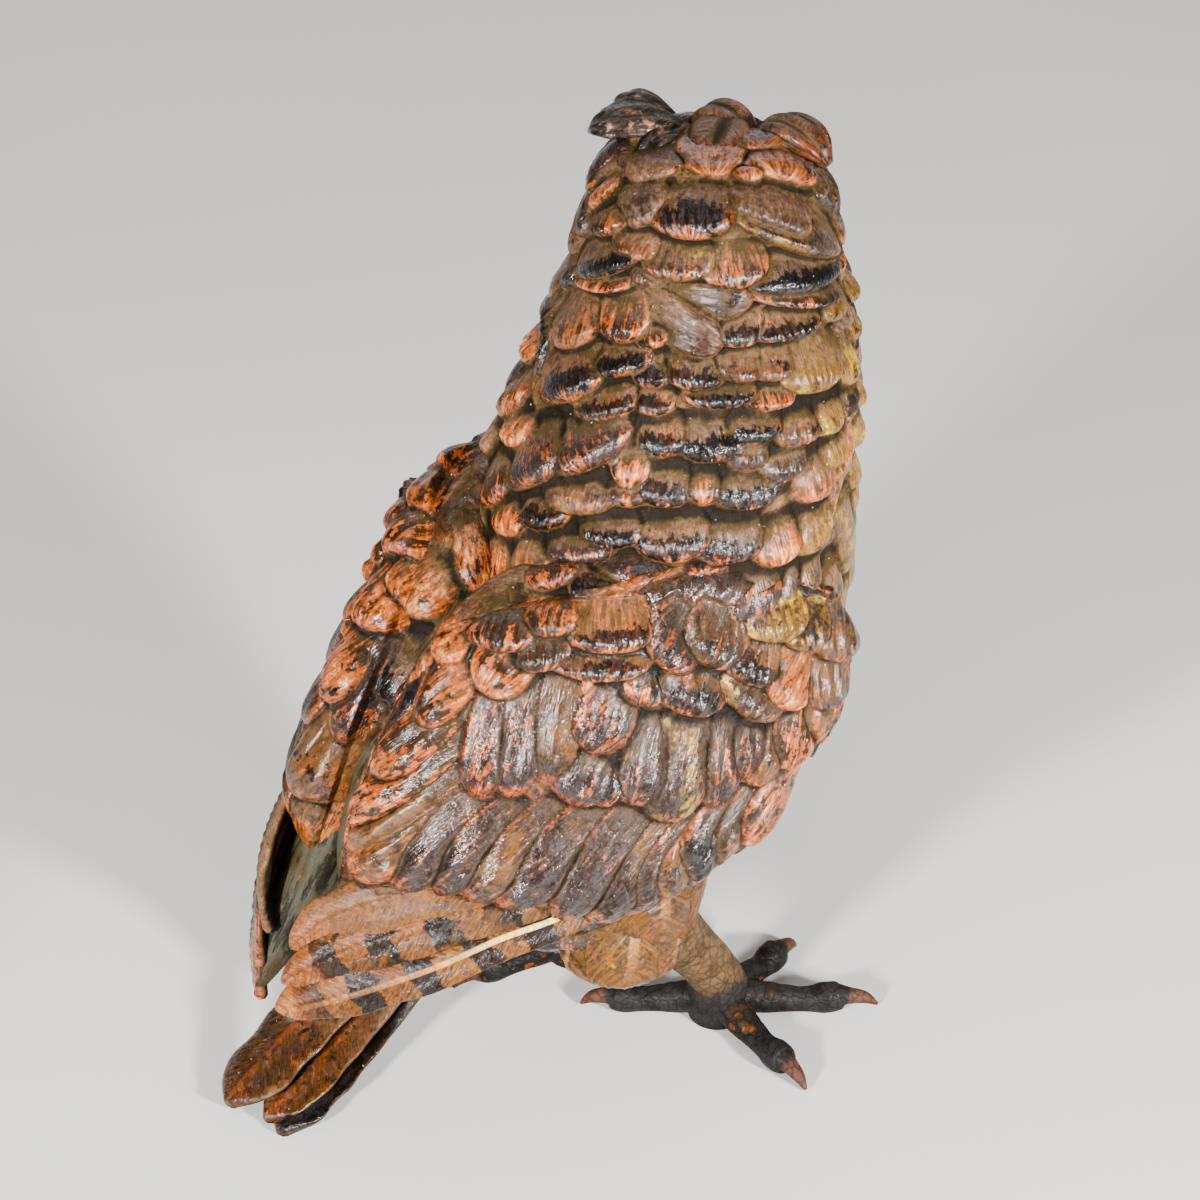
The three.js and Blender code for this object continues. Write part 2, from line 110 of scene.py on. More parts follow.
# Flight feathers of the right wing from the lowest up: widest half width, middle line and how far
# each point of it is pressed in against the fan
QUILLS = [
    (8.5, [(-44.3, 38.4, 91.7), (-46.3, 60.9, 88.2), (-46.3, 79.3, 89.6), (-40.3, 93.7, 83.8),
           (-31.3, 106.3, 76.5), (-19.3, 117.4, 67), (-6.3, 123, 56.4)], (0, 3, 8.5, 8.5, 7.5, 6, 0.5)),
    (7.6, [(-43, 46, 96), (-44, 68.3, 94), (-41, 87.6, 94.6), (-33, 101, 89),
           (-23, 113, 81), (-8, 121.8, 66)], (0, 5, 9.5, 9.3, 9, 3)),
    (7.4, [(-40, 54, 103), (-40, 74.8, 99.6), (-36.5, 90.2, 101.6), (-28.5, 103.4, 97.4),
           (-19, 113.6, 90), (-8, 118.6, 76)], (2, 6, 10, 11, 11, 4.5)),
]
QUILL_OUTLINE = [(0, 0.9), (0.4, 1), (0.75, 0.95), (0.9, 0.7), (0.97, 0.4), (1, 0.1)]

# The way a flight feather's face looks, and the way against which it is pressed in
QUILL_FACE = (-0.75, 0.3, 0.55)
PRESS_WAY = np.array([-0.66, 0.39, 0.64])

# Where the lowest flight feather's shaft lies across it, as a part of its half width, and the
# distance from one barb to the next
PRIMARY_SHAFT = 0.3
QUILL_BARB_PITCH = 3.1

# The left wing's flight feathers lie closer to the body and their tips hang lower
LEFT_TUCK = 0.82
LEFT_DROP = 6.0

# Tail feathers from the top one down: widest half width and middle line
TAIL = [
    (11, [(23, 64, 36), (28.8, 82.3, 20), (28.2, 97.4, 13.5), (26.2, 108.1, 8.5), (22.3, 124.7, 2.6)]),
    (8, [(19, 60, 32), (22.6, 77, 14.5), (19.6, 91, 9), (15.5, 103, 5.5), (11.7, 119, 1.7)]),
    (9, [(20, 56, 28), (22.3, 76, 10), (18.6, 88, 6.5), (14.2, 99, 4), (5.6, 118.2, 1)]),
]
TAIL_OUTLINE = [(0, 0.7), (0.35, 0.9), (0.75, 1), (0.92, 0.78), (1, 0.15)]
TAIL_FACE = (0, 0.5, 0.85)

# Feet: where the middle of each foot stands, the way it points, and the turns of its middle,
# outer, inner and hind toes
RIGHT_FOOT = {"x": -21, "y": -10, "turn": 32, "spread": 1, "toes": (0, 58, -47, 187)}
LEFT_FOOT = {"x": 24, "y": 8, "turn": -12, "spread": -1, "toes": (0, 46, -42, 159)}
TOE_LENGTH = 45.0
TOE_SCALES = (1.02, 0.92, 0.82, 0.86)

# Sections of a toe: parameter, place along its length, height and radius
TOE = [
    (0, 0, 7.4, 6), (0.2, 0.2, 5.2, 4.7), (0.3, 0.32, 4.5, 4.4), (0.4, 0.42, 4, 3.9),
    (0.5, 0.55, 3.4, 3.6), (0.6, 0.66, 3.7, 4.4), (0.7, 0.75, 4.1, 4.1), (0.8, 0.81, 4.3, 2.6),
    (0.9, 0.92, 3.3, 1.8), (1, 1, 0.8, 0.5),
]

# Thigh: parameter, height, half width and half depth
THIGH = [
    (0, 86, 11, 15), (0.25, 74, 16, 20), (0.55, 60, 16.5, 19), (0.8, 50, 15, 16),
    (0.94, 43, 12, 13), (1, 40.5, 5, 6),
]
THIGH_LOBES = 5
THIGH_RELIEF = 4.2

# Limbs that carry feathers or close a gap: parameter, x, y, z and radius
RUMP = [
    (0, 2, 36, 150, 18), (0.3, 2, 50, 122, 21), (0.6, 4, 60, 92, 22), (0.85, 9, 66, 60, 18),
    (1, 17, 65, 35, 10),
]
SCAPULAR = [
    (0, -32, 2, 164, 7), (0.25, -32, 12, 166, 10.5), (0.5, -26, 34, 163, 10.5),
    (0.7, -12, 52, 155, 11), (0.85, -6, 66, 139, 10), (1, -5, 79, 118, 7),
]
UNDERTAIL = [(0, 2, 38, 62, 18), (0.5, 9, 56, 47, 15), (1, 20, 76, 26, 8)]
WEB = [
    (0, 0, 42, 152, 3), (0.3, 0, 63, 134, 7), (0.6, 0, 81, 114, 10), (0.85, 0, 89, 94, 10),
    (1, 1, 91, 80, 8),
]
BACKWARD = (0, 1, 0.6)

# Leaves of the ear tufts from root to tip: way to the owl's left, way out of the face and height,
# with the widest radius
LEFT_TUFT = [
    (7.0, [(10, 16, 257), (16, 10, 262.5), (23, 5, 264), (28, 3.5, 263.2), (31.5, 3.5, 261)]),
    (6.0, [(12, 21, 256), (18, 18, 261.5), (22.5, 16.5, 263.2), (26.5, 17, 262.4), (29, 18, 259)]),
    (5.5, [(10, 10, 256), (12.5, 6, 260.5), (14.6, 2.4, 260.8), (16.4, 0, 259), (17.6, -1.5, 255.5)]),
    (6.0, [(15, 10, 254), (20, 7, 256.5), (25, 5.5, 254.5), (28.5, 5, 250.5), (30.5, 5.5, 246)]),
]
RIGHT_TUFT = [
    (7.0, [(-8, 17, 257), (-14, 15, 261.8), (-20, 12.6, 262.4), (-25, 10.6, 260.5), (-29, 9.4, 256.5)]),
    (6.2, [(-8, 12.5, 256), (-13, 10, 260), (-17, 7.6, 259), (-19.5, 6.2, 256), (-21.5, 5.2, 251)]),
    (5.0, [(-6, 8.5, 257), (-9, 5.5, 259), (-11, 3, 258), (-12.3, 1.2, 255.5), (-13.2, 0.4, 252.5)]),
]
CROWN_LEAVES = [
    (8.2, [(0.6, 17.5, 255), (0, 12, 261.2), (-1.6, 4, 262.2), (-2.6, -3, 261), (-3.4, -9.5, 256.5)]),
    (6.8, [(9, 20, 255), (5, 19, 261), (0, 17.5, 262.4), (-4.5, 15.5, 261), (-8, 12.5, 257)]),
]

# Widths of a tuft's leaf from its root to its tip, as parts of the widest
LEAF_SWELL = (0.55, 0.95, 1.0, 0.8, 0.2)

# Beak and one brow: parameter, way to the owl's left, way out of the face, height and radius
BEAK = [
    (0, 0, 28, 241, 2.8), (0.25, 0, 33.5, 238, 4.2), (0.6, 0, 37.2, 231, 4.0),
    (0.85, 0, 36.8, 224, 2.2), (1, 0, 35.2, 220, 0.5),
]
BROW = [(0, 0.5, 34, 243, 2.2), (0.35, 5, 33.5, 249, 4.0), (0.7, 11, 27, 253.5, 4.6), (1, 17, 19, 255, 2.5)]

# Facial disc from the eye's lid out to the rim: parameter, radius and height
DISC = [
    (0, 5.4, 0.8), (0.08, 6.0, 2.4), (0.16, 7.2, 2.4), (0.3, 8.6, 0.9), (0.55, 11.5, 1.2),
    (0.74, 13.8, 3.4), (0.82, 14.8, 3.2), (0.9, 15.1, 1), (1, 14.2, -9),
]

# Turn of each disc away from the way the face looks, in radians, and radius of an eye
DISC_TURN = 0.42
EYE_RADIUS = 6.0

# Distance down from the crown where the head's skin gives way to the body's, and how far each
# runs on under the other
HEAD_END = 72.0
SEAM = 3

# Feather lobes round the trunk, their pitch down the neck and down the belly, and how far down
# the one changes to the other
TRUNK_LOBES = 16
NECK_PITCH = 12.6
BELLY_PITCH = 15.0
NECK_END = 150

# How far the coverts of a wing stand out
WING_RELIEF = 4.4

# How far from the plane of a listed feather its surface may lie
DRAPE_REACH = 26.0

# Distance from one dark bar to the next on a flight feather
BAR_PITCH = 16.0

# Part of a lip's height by which it leans out over the next feather
LEAN = 0.3

# Head
HEAD_CENTRE = np.array([0.0, -17.0, 236.0])
HEAD_TURN = math.radians(40)
FACE = np.array([math.sin(HEAD_TURN), -math.cos(HEAD_TURN), 0.0])
SIDE = np.array([math.cos(HEAD_TURN), math.sin(HEAD_TURN), 0.0])

# The photograph's view: turn and height angle of the camera, distance in millimetres, width of
# the frame and focal length in pixels, and the pixel where the origin of the sections lies
AZIMUTH = math.radians(235)
ELEVATION = math.radians(34)
DISTANCE = 1000.0
FRAME_PIXELS = 1200
FOCAL = 3480.0
ORIGIN_PIXEL = (645, 985)

# Width of the camera's sensor in millimetres
SENSOR = 36.0

# Half the width of the floor in metres, and the light from all round
FLOOR_HALF = 4.0
WORLD_COLOUR = (1.0, 0.98, 0.95, 1)
WORLD_STRENGTH = 0.26

# Soft lights: name, the setting for its power and the part of it, width, turn from the camera,
# height angle and distance
LIGHTS = (
    ("Key", "key", 1.0, 0.12, 0.8, 0.3, 1.1),
    ("Second", "key", 0.85, 0.12, -0.6, 0.32, 1.1),
    ("Top", "fill", 0.6, 0.8, 0.3, 1.35, 1.2),
    ("Front", "fill", 0.7, 1.2, math.pi, 0.6, 1.3),
)

# What each point of a surface carries: fields of its feather, places across and along it, and
# its finishes
FIELDS = ("tip", "side", "seed", "lift")
BARBS = ("across", "along")
MARKS = ("mark", "gloss", "rub", "gold", "dust")
PLAIN_MARKS = (0.3, 0.3, 0.5, 0.1, 0.3)

# Finishes of a feather: black mark, gloss, rub, gold and dust, each from 0 to 1.  Gloss places bare bronze,
# coloured with a painted sheen
FINISHES = {
    "rubbed": (0.3, 0.15, 0.85, 0.05, 0.1),
    "tan": (0.2, 0.1, 0.5, 0.15, 0.35),
    "barred": (1.0, 0.35, 0.5, 0.15, 0.1),
    "black": (0.9, 0.8, 0.1, 0.0, 0.1),
    "glossy": (0.3, 1.0, 0.4, 0.1, 0.05),
    "grey": (0.15, 0.65, 0.3, 0.0, 0.6),
    "brown": (0.5, 0.3, 0.35, 0.15, 0.2),
    "red": (0.3, 0.3, 0.7, 0.0, 0.1),
    "ochre": (0.1, 0.05, 0.2, 0.9, 0.25),
    "gilt": (0.15, 0.8, 0.3, 0.6, 0.1),
    "dusty": (0.1, 0.15, 0.2, 0.15, 1.0),
}

# The same five for each flight feather from the lowest up, and for each tail feather
QUILL_MARKS = ((1, 0.2, 0.5, 0.2, 0.1), (1, 0.3, 0.5, 0.1, 0.3), (0, 0.3, 0.3, 0.1, 0.9))
TAIL_MARKS = ((0.3, 0.5, 0.25, 0.3, 0.4), (0.25, 0.4, 0.3, 0.3, 0.4), (0.1, 0.3, 0.4, 0.1, 0.5))

# Feathers of the head and mantle by their place in the photograph: root, tip, width and finish
HEAD_LAY = [
    (738, 96, 748, 150, 84, "brown"),
    (720, 118, 712, 177, 66, "rubbed"),
    (742, 150, 748, 183, 30, "red"),
    (764, 138, 780, 182, 56, "red"),
    (660, 140, 655, 182, 50, "grey"),
    (608, 172, 606, 202, 30, "rubbed"),
    (638, 168, 650, 223, 48, "grey"),
    (698, 176, 692, 238, 80, "barred"),
    (778, 180, 772, 230, 80, "grey"),
    (800, 196, 795, 249, 90, "gilt"),
    (612, 196, 610, 234, 42, "tan"),
    (640, 222, 634, 256, 44, "tan"),
    (602, 230, 608, 274, 70, "barred"),
    (678, 232, 676, 278, 70, "gilt"),
    (732, 236, 736, 285, 62, "rubbed"),
    (798, 240, 798, 288, 84, "black"),
    (600, 262, 600, 290, 56, "rubbed"),
    (842, 258, 850, 298, 32, "ochre"),
    (828, 276, 830, 318, 36, "ochre"),
    (852, 292, 854, 336, 30, "ochre"),
    (652, 296, 750, 297, 36, "grey"),
    (804, 272, 800, 304, 84, "tan"),
    (578, 284, 574, 346, 54, "tan"),
    (622, 282, 622, 340, 48, "rubbed"),
    (632, 298, 718, 345, 46, "grey"),
    (648, 312, 654, 346, 36, "rubbed"),
    (738, 304, 740, 344, 52, "barred"),
    (784, 300, 786, 336, 70, "barred"),
]
MANTLE_LAY = [
    (548, 316, 526, 354, 40, "rubbed"),
    (570, 334, 576, 398, 62, "barred"),
    (614, 328, 620, 374, 62, "barred"),
    (652, 340, 652, 384, 42, "barred"),
    (696, 342, 690, 387, 66, "barred"),
    (742, 338, 740, 378, 52, "brown"),
    (770, 338, 768, 378, 46, "brown"),
    (810, 330, 812, 388, 58, "ochre"),
    (844, 326, 845, 382, 36, "ochre"),
    (860, 362, 860, 404, 26, "ochre"),
    (520, 352, 512, 416, 54, "tan"),
    (602, 370, 608, 416, 66, "barred"),
    (656, 374, 650, 412, 44, "barred"),
    (718, 368, 720, 405, 72, "barred"),
    (768, 374, 766, 406, 50, "rubbed"),
    (526, 398, 514, 444, 40, "rubbed"),
    (572, 396, 590, 468, 88, "glossy"),
    (634, 420, 630, 484, 40, "rubbed"),
    (662, 404, 662, 454, 50, "barred"),
    (706, 400, 712, 460, 68, "black"),
    (752, 398, 752, 440, 58, "barred"),
    (796, 394, 796, 441, 50, "brown"),
    (824, 388, 821, 432, 40, "ochre"),
    (854, 396, 852, 442, 30, "ochre"),
    (744, 428, 744, 466, 44, "tan"),
    (532, 414, 542, 482, 70, "glossy"),
    (490, 400, 486, 450, 40, "dusty"),
    (582, 458, 582, 512, 74, "grey"),
    (628, 464, 624, 502, 50, "tan"),
    (666, 450, 660, 504, 60, "barred"),
    (704, 454, 702, 502, 38, "rubbed"),
    (748, 450, 748, 505, 68, "barred"),
    (780, 432, 780, 475, 48, "brown"),
    (812, 436, 812, 497, 42, "tan"),
    (830, 422, 830, 464, 32, "ochre"),
    (854, 434, 850, 484, 28, "ochre"),
    (500, 440, 502, 502, 50, "tan"),
    (545, 474, 546, 528, 54, "barred"),
    (514, 478, 514, 534, 46, "rubbed"),
    (612, 500, 612, 545, 62, "barred"),
    (668, 500, 672, 557, 76, "barred"),
    (730, 504, 725, 560, 66, "barred"),
    (776, 510, 776, 560, 46, "rubbed"),
    (808, 492, 810, 548, 44, "ochre"),
    (842, 476, 842, 568, 34, "gilt"),
    (478, 440, 462, 602, 50, "dusty"),
    (472, 508, 480, 594, 44, "rubbed"),
    (496, 506, 504, 596, 48, "rubbed"),
    (530, 510, 530, 584, 46, "tan"),
    (576, 514, 582, 562, 70, "glossy"),
    (552, 544, 552, 590, 50, "tan"),
    (596, 552, 600, 606, 62, "barred"),
    (634, 540, 640, 594, 96, "glossy"),
    (670, 556, 668, 614, 80, "brown"),
    (742, 556, 745, 616, 76, "glossy"),
    (780, 552, 776, 600, 44, "grey"),
    (804, 546, 800, 594, 36, "gilt"),
    (818, 556, 822, 614, 48, "brown"),
]

# Feathers of the right wing by their place in the photograph
RIGHT_LAY = [
    (508, 596, 500, 650, 60, "tan"),
    (553, 580, 553, 634, 48, "rubbed"),
    (610, 598, 615, 648, 84, "barred"),
    (694, 608, 656, 660, 62, "glossy"),
    (728, 604, 702, 662, 64, "brown"),
    (775, 590, 775, 636, 56, "ochre"),
    (806, 596, 800, 646, 42, "gilt"),
    (836, 600, 830, 656, 46, "grey"),
    (494, 596, 440, 658, 44, "rubbed"),
    (530, 618, 540, 668, 70, "brown"),
    (540, 606, 488, 690, 58, "rubbed"),
    (600, 638, 600, 676, 96, "brown"),
    (486, 650, 424, 722, 38, "rubbed"),
    (655, 652, 640, 702, 42, "glossy"),
    (704, 648, 680, 708, 68, "barred"),
    (762, 632, 740, 676, 66, "barred"),
    (768, 662, 735, 707, 68, "gilt"),
    (804, 650, 772, 700, 52, "rubbed"),
    (830, 648, 818, 704, 40, "grey"),
    (508, 666, 478, 794, 46, "glossy"),
    (526, 664, 510, 792, 50, "glossy"),
    (560, 668, 548, 776, 52, "grey"),
    (624, 676, 588, 744, 56, "glossy"),
    (612, 712, 570, 800, 62, "glossy"),
    (628, 722, 598, 800, 42, "barred"),
    (656, 708, 632, 800, 54, "glossy"),
    (692, 698, 665, 816, 62, "gilt"),
    (718, 698, 712, 800, 42, "glossy"),
    (750, 696, 736, 776, 38, "glossy"),
    (778, 692, 752, 780, 38, "tan"),
    (802, 680, 784, 762, 42, "rubbed"),
    (822, 664, 806, 740, 30, "red"),
    (470, 690, 380, 780, 44, "rubbed"),
    (478, 720, 356, 822, 40, "rubbed"),
    (470, 756, 352, 850, 36, "dusty"),
    (470, 788, 354, 870, 56, "red"),
    (484, 792, 398, 880, 50, "glossy"),
    (528, 796, 438, 882, 48, "glossy"),
    (566, 796, 468, 888, 46, "grey"),
    (612, 796, 498, 894, 54, "glossy"),
    (646, 798, 556, 906, 50, "glossy"),
    (680, 812, 590, 908, 46, "barred"),
    (712, 802, 612, 904, 44, "glossy"),
    (728, 798, 650, 888, 42, "brown"),
    (752, 776, 672, 878, 48, "barred"),
    (772, 774, 700, 862, 36, "tan"),
    (806, 752, 738, 836, 48, "rubbed"),
]

# Feathers of the left wing by their place in the photograph
LEFT_LAY = [
    (474, 420, 450, 474, 44, "rubbed"),
    (450, 452, 424, 514, 52, "rubbed"),
    (420, 468, 394, 530, 44, "tan"),
    (452, 500, 398, 554, 56, "rubbed"),
    (408, 500, 378, 562, 44, "tan"),
    (450, 548, 408, 614, 62, "rubbed"),
    (404, 560, 370, 628, 58, "rubbed"),
    (376, 560, 350, 620, 40, "tan"),
    (378, 618, 332, 698, 40, "rubbed"),
    (416, 616, 342, 738, 42, "glossy"),
    (350, 640, 314, 720, 40, "brown"),
    (340, 700, 300, 794, 52, "brown"),
    (420, 640, 380, 700, 40, "black"),
    (352, 742, 318, 872, 26, "rubbed"),
    (330, 740, 284, 860, 30, "tan"),
]


# Numbers and curves


def curve(rows, t):
    """Smooth curve through rows of numbers whose first column is the parameter.

    Between two rows each column is a cubic with the rows' values at its ends and slopes
    that are averages of the straight slopes on either side.
    """
    table = np.asarray(rows, float)
    x, y = table[:, 0], table[:, 1:]
    slope = np.diff(y, axis=0) / np.diff(x)[:, None]
    before, after = np.diff(x)[:-1, None], np.diff(x)[1:, None]
    tangent = np.concatenate(
        [slope[:1], (slope[1:] * before + slope[:-1] * after) / (before + after), slope[-1:]]
    )
    t = np.clip(np.asarray(t, float), x[0], x[-1])
    k = np.clip(np.searchsorted(x, t, side="right") - 1, 0, len(x) - 2)
    h = (x[k + 1] - x[k])[..., None]
    s = (t - x[k])[..., None] / h
    return (
        (2 * s**3 - 3 * s**2 + 1) * y[k]
        + (s**3 - 2 * s**2 + s) * h * tangent[k]
        + (3 * s**2 - 2 * s**3) * y[k + 1]
        + (s**3 - s**2) * h * tangent[k + 1]
    )


def unit(v):
    """Vectors divided by their length."""
    return v / (np.linalg.norm(v, axis=-1, keepdims=True) + 1e-12)


def scatter(i, j, k):
    """Even scatter from 0 to 1 for whole numbers i, j and a stream k: a sine's far digits."""
    raw = np.sin(i * 12.9898 + j * 78.233 + k * 37.719) * 43758.5453
    return raw - np.floor(raw)


def step(low, high, x):
    """Smooth step from 0 at low to 1 at high."""
    s = np.clip((x - low) / (high - low), 0, 1)
    return s * s * (3 - 2 * s)


# Feather relief


def outline(t, w_abs):
    """Puffy feather: it rises slowly from its root, is fullest at three quarters of its length,
    rolls down to a thick lip at the tip, and rolls half way down to both sides."""
    rise = 0.04 + 0.3 * t + 0.66 * step(0.05, 0.8, t)
    roll = np.sqrt(np.clip(1 - (np.clip(t - 0.68, 0, 1) / 0.335) ** 2, 0, 1))
    full = np.sqrt(np.clip(1 - w_abs**2.3, 0, 1))
    return rise * (0.38 + 0.62 * roll) * (0.4 + 0.6 * full)


def blur_rows(field):
    """Field with each point mixed with the ones above and below it, by the weights 1, 2, 1."""
    edge = np.pad(field, ((1, 1), (0, 0)), mode="edge")
    return (edge[:-2] + 2 * field + edge[2:]) / 4


def soften(field, passes):
    """Field blurred a number of times, round its columns, which close, and along its rows."""
    for _ in range(passes):
        field = blur_rows((np.roll(field, 1, 1) + 2 * field + np.roll(field, -1, 1)) / 4)
    return field


def lobes(x, r, around, seed, width=0.62, length=1.75):
    """Overlapping rows of feather lobes on a plane of lateral place x and row place r.

    Lobe j of row i has its root at r = i and its middle at x = j + 1/2, half a lobe further
    on odd rows, each moved a little by a scatter.  t runs from its root to its tip and w
    from -1 to 1 across it.  It is full in the middle, round at the tip and thicker towards
    the tip, so the highest lobe at a point is the one that lies on top there.
    Returns its height from 0 to 1, t, w and the lobe's own number from 0 to 1.
    """
    best = np.zeros_like(x)
    out_t, out_w, out_s = np.zeros_like(x), np.ones_like(x), np.zeros_like(x)
    base = np.floor(r)
    for di in (1, 0, -1, -2):
        i = base + di
        odd = np.mod(i, 2) * 0.5
        cell = np.floor(x - odd)
        for dj in (-1, 0, 1):
            j = cell + dj
            key = np.mod(j, around) if around else j
            one, two, three, four = (scatter(i, key, seed + k) for k in range(4))
            t = (r - i - 0.3 * (two - 0.5)) / (length * (1 + 0.22 * (three - 0.5)))
            middle = j + 0.5 + odd + 0.3 * (one - 0.5)
            half = width * (1 + 0.3 * (four - 0.5))
            round_tip = np.sqrt(np.clip(1 - (np.clip(t - 0.62, 0, 1) / 0.4) ** 2.4, 0, 1))
            slant = 0.25 * (two - 0.5) * (t - 0.5)
            w = (x - middle - slant) / (half * (0.82 + 0.18 * step(0, 0.5, t)) * round_tip + TINY)
            inside = (np.abs(w) < 1) & (t > 0) & (t < 1)
            height = outline(t, np.abs(w)) * (0.86 + 0.14 * three)
            height = np.where(inside, height, 0)
            wins = height > best
            best = np.where(wins, height, best)
            out_t, out_w = np.where(wins, t, out_t), np.where(wins, w, out_w)
            out_s = np.where(wins, scatter(i, key, seed + 5), out_s)
    return best, out_t, out_w, out_s


def camera_axes(azimuth, elevation):
    """The camera's own right, up and back for a turn about the figure and a height angle."""
    right = np.array([math.cos(azimuth), math.sin(azimuth), 0])
    flat = math.cos(elevation)
    back = np.array([math.sin(azimuth) * flat, -math.cos(azimuth) * flat, math.sin(elevation)])
    return right, np.cross(back, right), back


def picture(points):
    """Pixel place of points in the photograph, and the way back to the camera: the points are
    turned to the camera's own right, up and back, then divided by their depth."""
    right, up, back = camera_axes(AZIMUTH, ELEVATION)
    middle = FRAME_PIXELS / 2
    x0, y0 = ((pixel - middle) / FOCAL for pixel in ORIGIN_PIXEL)
    depth = DISTANCE - points @ back
    x = middle + FOCAL * (points @ right + x0 * DISTANCE) / depth
    y = middle - FOCAL * (points @ up - y0 * DISTANCE) / depth
    return x, y, back


def seats(grid, out, feathers, snap=1e3):
    """Where the listed feathers sit on a grid of points with outward normals.

    The root, the tip and both sides of each feather are the front points of the grid nearest
    to their pixels.  A feather whose middle lies more than snap pixels off the grid is left
    out.  Gives each feather's root, tip, middle, outward normal there, half width
    and finish.
    """
    x, y, back = picture(grid)
    view = back * DISTANCE - grid
    front = (out * view).sum(-1) > 0.05 * np.linalg.norm(view, axis=-1)
    hidden = np.where(front, 0.0, FAR)

    def spot(px, py):
        off = (x - px) ** 2 + (y - py) ** 2 + hidden
        k = np.argmin(off)
        return grid.reshape(-1, 3)[k], out.reshape(-1, 3)[k], off.min()

    found = []
    for rx, ry, tx, ty, width, finish in feathers:
        root, tip = spot(rx, ry)[0], spot(tx, ty)[0]
        mx, my = (rx + tx) / 2, (ry + ty) / 2
        middle, normal, off = spot(mx, my)
        if off > snap**2:
            continue
        axis = np.array([tx - rx, ty - ry], float)
        sx, sy = np.array([-axis[1], axis[0]]) / (np.hypot(*axis) + 1e-9) * width / 2
        span = np.linalg.norm(spot(mx + sx, my + sy)[0] - spot(mx - sx, my - sy)[0])
        plain = width * DISTANCE / FOCAL * 0.87
        half = np.clip(span, plain * 0.9, plain * 1.5) / 2 * 1.06
        found.append((root, tip, middle, normal, half, finish))
    return found


def drape(grid, out, found, relief, seed):
    """Lays seated feathers on a grid of points.

    In the plane that touches the surface at a feather's middle, t runs from its root to its
    tip and w from -1 to 1 across.  The feather is nearly parallel sided, with a blunt round
    tip, its one side a little higher than the other, and the highest feather at a point lies
    on top.  A groove is cut where two feathers are nearly level.  Returns height in
    millimetres, t, w, the feather's number from 0 to 1, its half width and length, its finishes
    and the way it points.
    """
    size = grid.shape[:2]
    best, second = np.zeros(size), np.zeros(size)
    top = (np.zeros(size), np.ones(size), np.zeros(size), np.full(size, 9.0), np.full(size, 20.0),
           np.zeros((*size, len(MARKS))), np.zeros((*size, 3)))
    for number, (root, tip, middle, normal, half, finish) in enumerate(found):
        length = np.clip(np.linalg.norm(tip - root), 6, 70)
        along = unit(tip - root)
        across = unit(np.cross(normal, along))
        away = grid - root
        t = (away @ along) / length
        round_tip = np.sqrt(np.clip(1 - (np.clip(t - 0.6, 0, 1) / 0.42) ** 2.2, 0, 1))
        round_root = 0.78 + 0.22 * step(0, 0.45, t)
        bow = 0.05 * length * (scatter(number, 1, seed) - 0.5) * 4 * t * (1 - t)
        w = (away @ across - bow) / (half * round_tip * round_root + TINY)
        near = np.abs((grid - middle) @ normal) < DRAPE_REACH
        inside = (np.abs(w) < 1) & (t > 0) & (t < 1.02) & near & ((out @ normal) > 0.1)
        height = outline(t, np.abs(w)) * relief * (0.8 + 0.25 * np.clip(half / 9, 0.4, 1.6))
        height = np.where(inside, height * (0.93 + 0.14 * scatter(number, 2, seed) + 0.1 * w), 0)
        wins = height > best
        second = np.where(wins, best, np.maximum(second, height))
        best = np.where(wins, height, best)
        new = (t, w, scatter(number, 3, seed), half, length, np.array(FINISHES[finish]), along)
        top = overlay(wins, new, top)
    level = np.exp(-(((best - second) / (0.13 * relief)) ** 2)) * step(0.15 * relief, 0.5 * relief, second)
    return [best - 0.27 * relief * level, *top]


def overlay(on, new, old):
    """Fields of the new layer where it lies on top and of the old one elsewhere."""
    return [np.where(on[..., None] if field.ndim > on.ndim else on, laid, field)
            for laid, field in zip(new, old)]


def settle(h, relief):
    """Height with its steps softened and the corners under its lips filled, as by dust: nowhere
    lower than its own wide blur less a part of the relief."""
    h = soften(h, 2)
    return np.maximum(h, soften(h, 16) - 0.13 * relief)


def cavity(h, relief):
    """How high a point stands above its surroundings, from 0 in a gap to 1 on a ridge: the
    height less its own blur, for a narrow blur and a wide one."""
    near = soften(h, 14)
    wide = soften(near, 50)
    return np.clip(0.5 + (0.75 * (h - near) + 0.45 * (h - wide)) / (0.55 * relief), 0, 1)


def guess_marks(seed_field, *means):
    """Finishes for feathers that the photograph doesn't show, scattered about the means of
    their black mark, gloss, rub, gold and dust."""
    fields = []
    for number, mean in enumerate(means):
        roll = scatter(np.round(seed_field * 9973), np.full_like(seed_field, number), 5.0)
        fields.append(np.clip(mean + (roll - 0.5) * 1.1 * min(1.0, 4 * mean), 0, 1))
    return np.stack(fields, -1)


def normals(grid, inside=None):
    """Outward unit normals of a ring-by-ring grid: the cross product of its two slopes, turned
    away from the points inside it, which are the middles of its rings if none are given."""
    inside = grid.mean(1, keepdims=True) if inside is None else inside
    across = np.roll(grid, -1, 1) - np.roll(grid, 1, 1)
    n = unit(np.cross(np.gradient(grid, axis=0), across))
    return n * np.where((n * (grid - inside)).sum(-1, keepdims=True) < 0, -1, 1)


# Meshes


def ring(count):
    """Angles evenly round a ring."""
    return np.arange(count) / count * 2 * np.pi


def running(points):
    """Distance run along a line at each of its points."""
    return np.concatenate([[0], np.cumsum(np.linalg.norm(np.diff(points, axis=0), axis=1))])


def sweep(path, across, normal, one, two):
    """Grid of points beside a path, by two distances from it."""
    return path[:, None] + across[:, None] * one[..., None] + normal[:, None] * two[..., None]


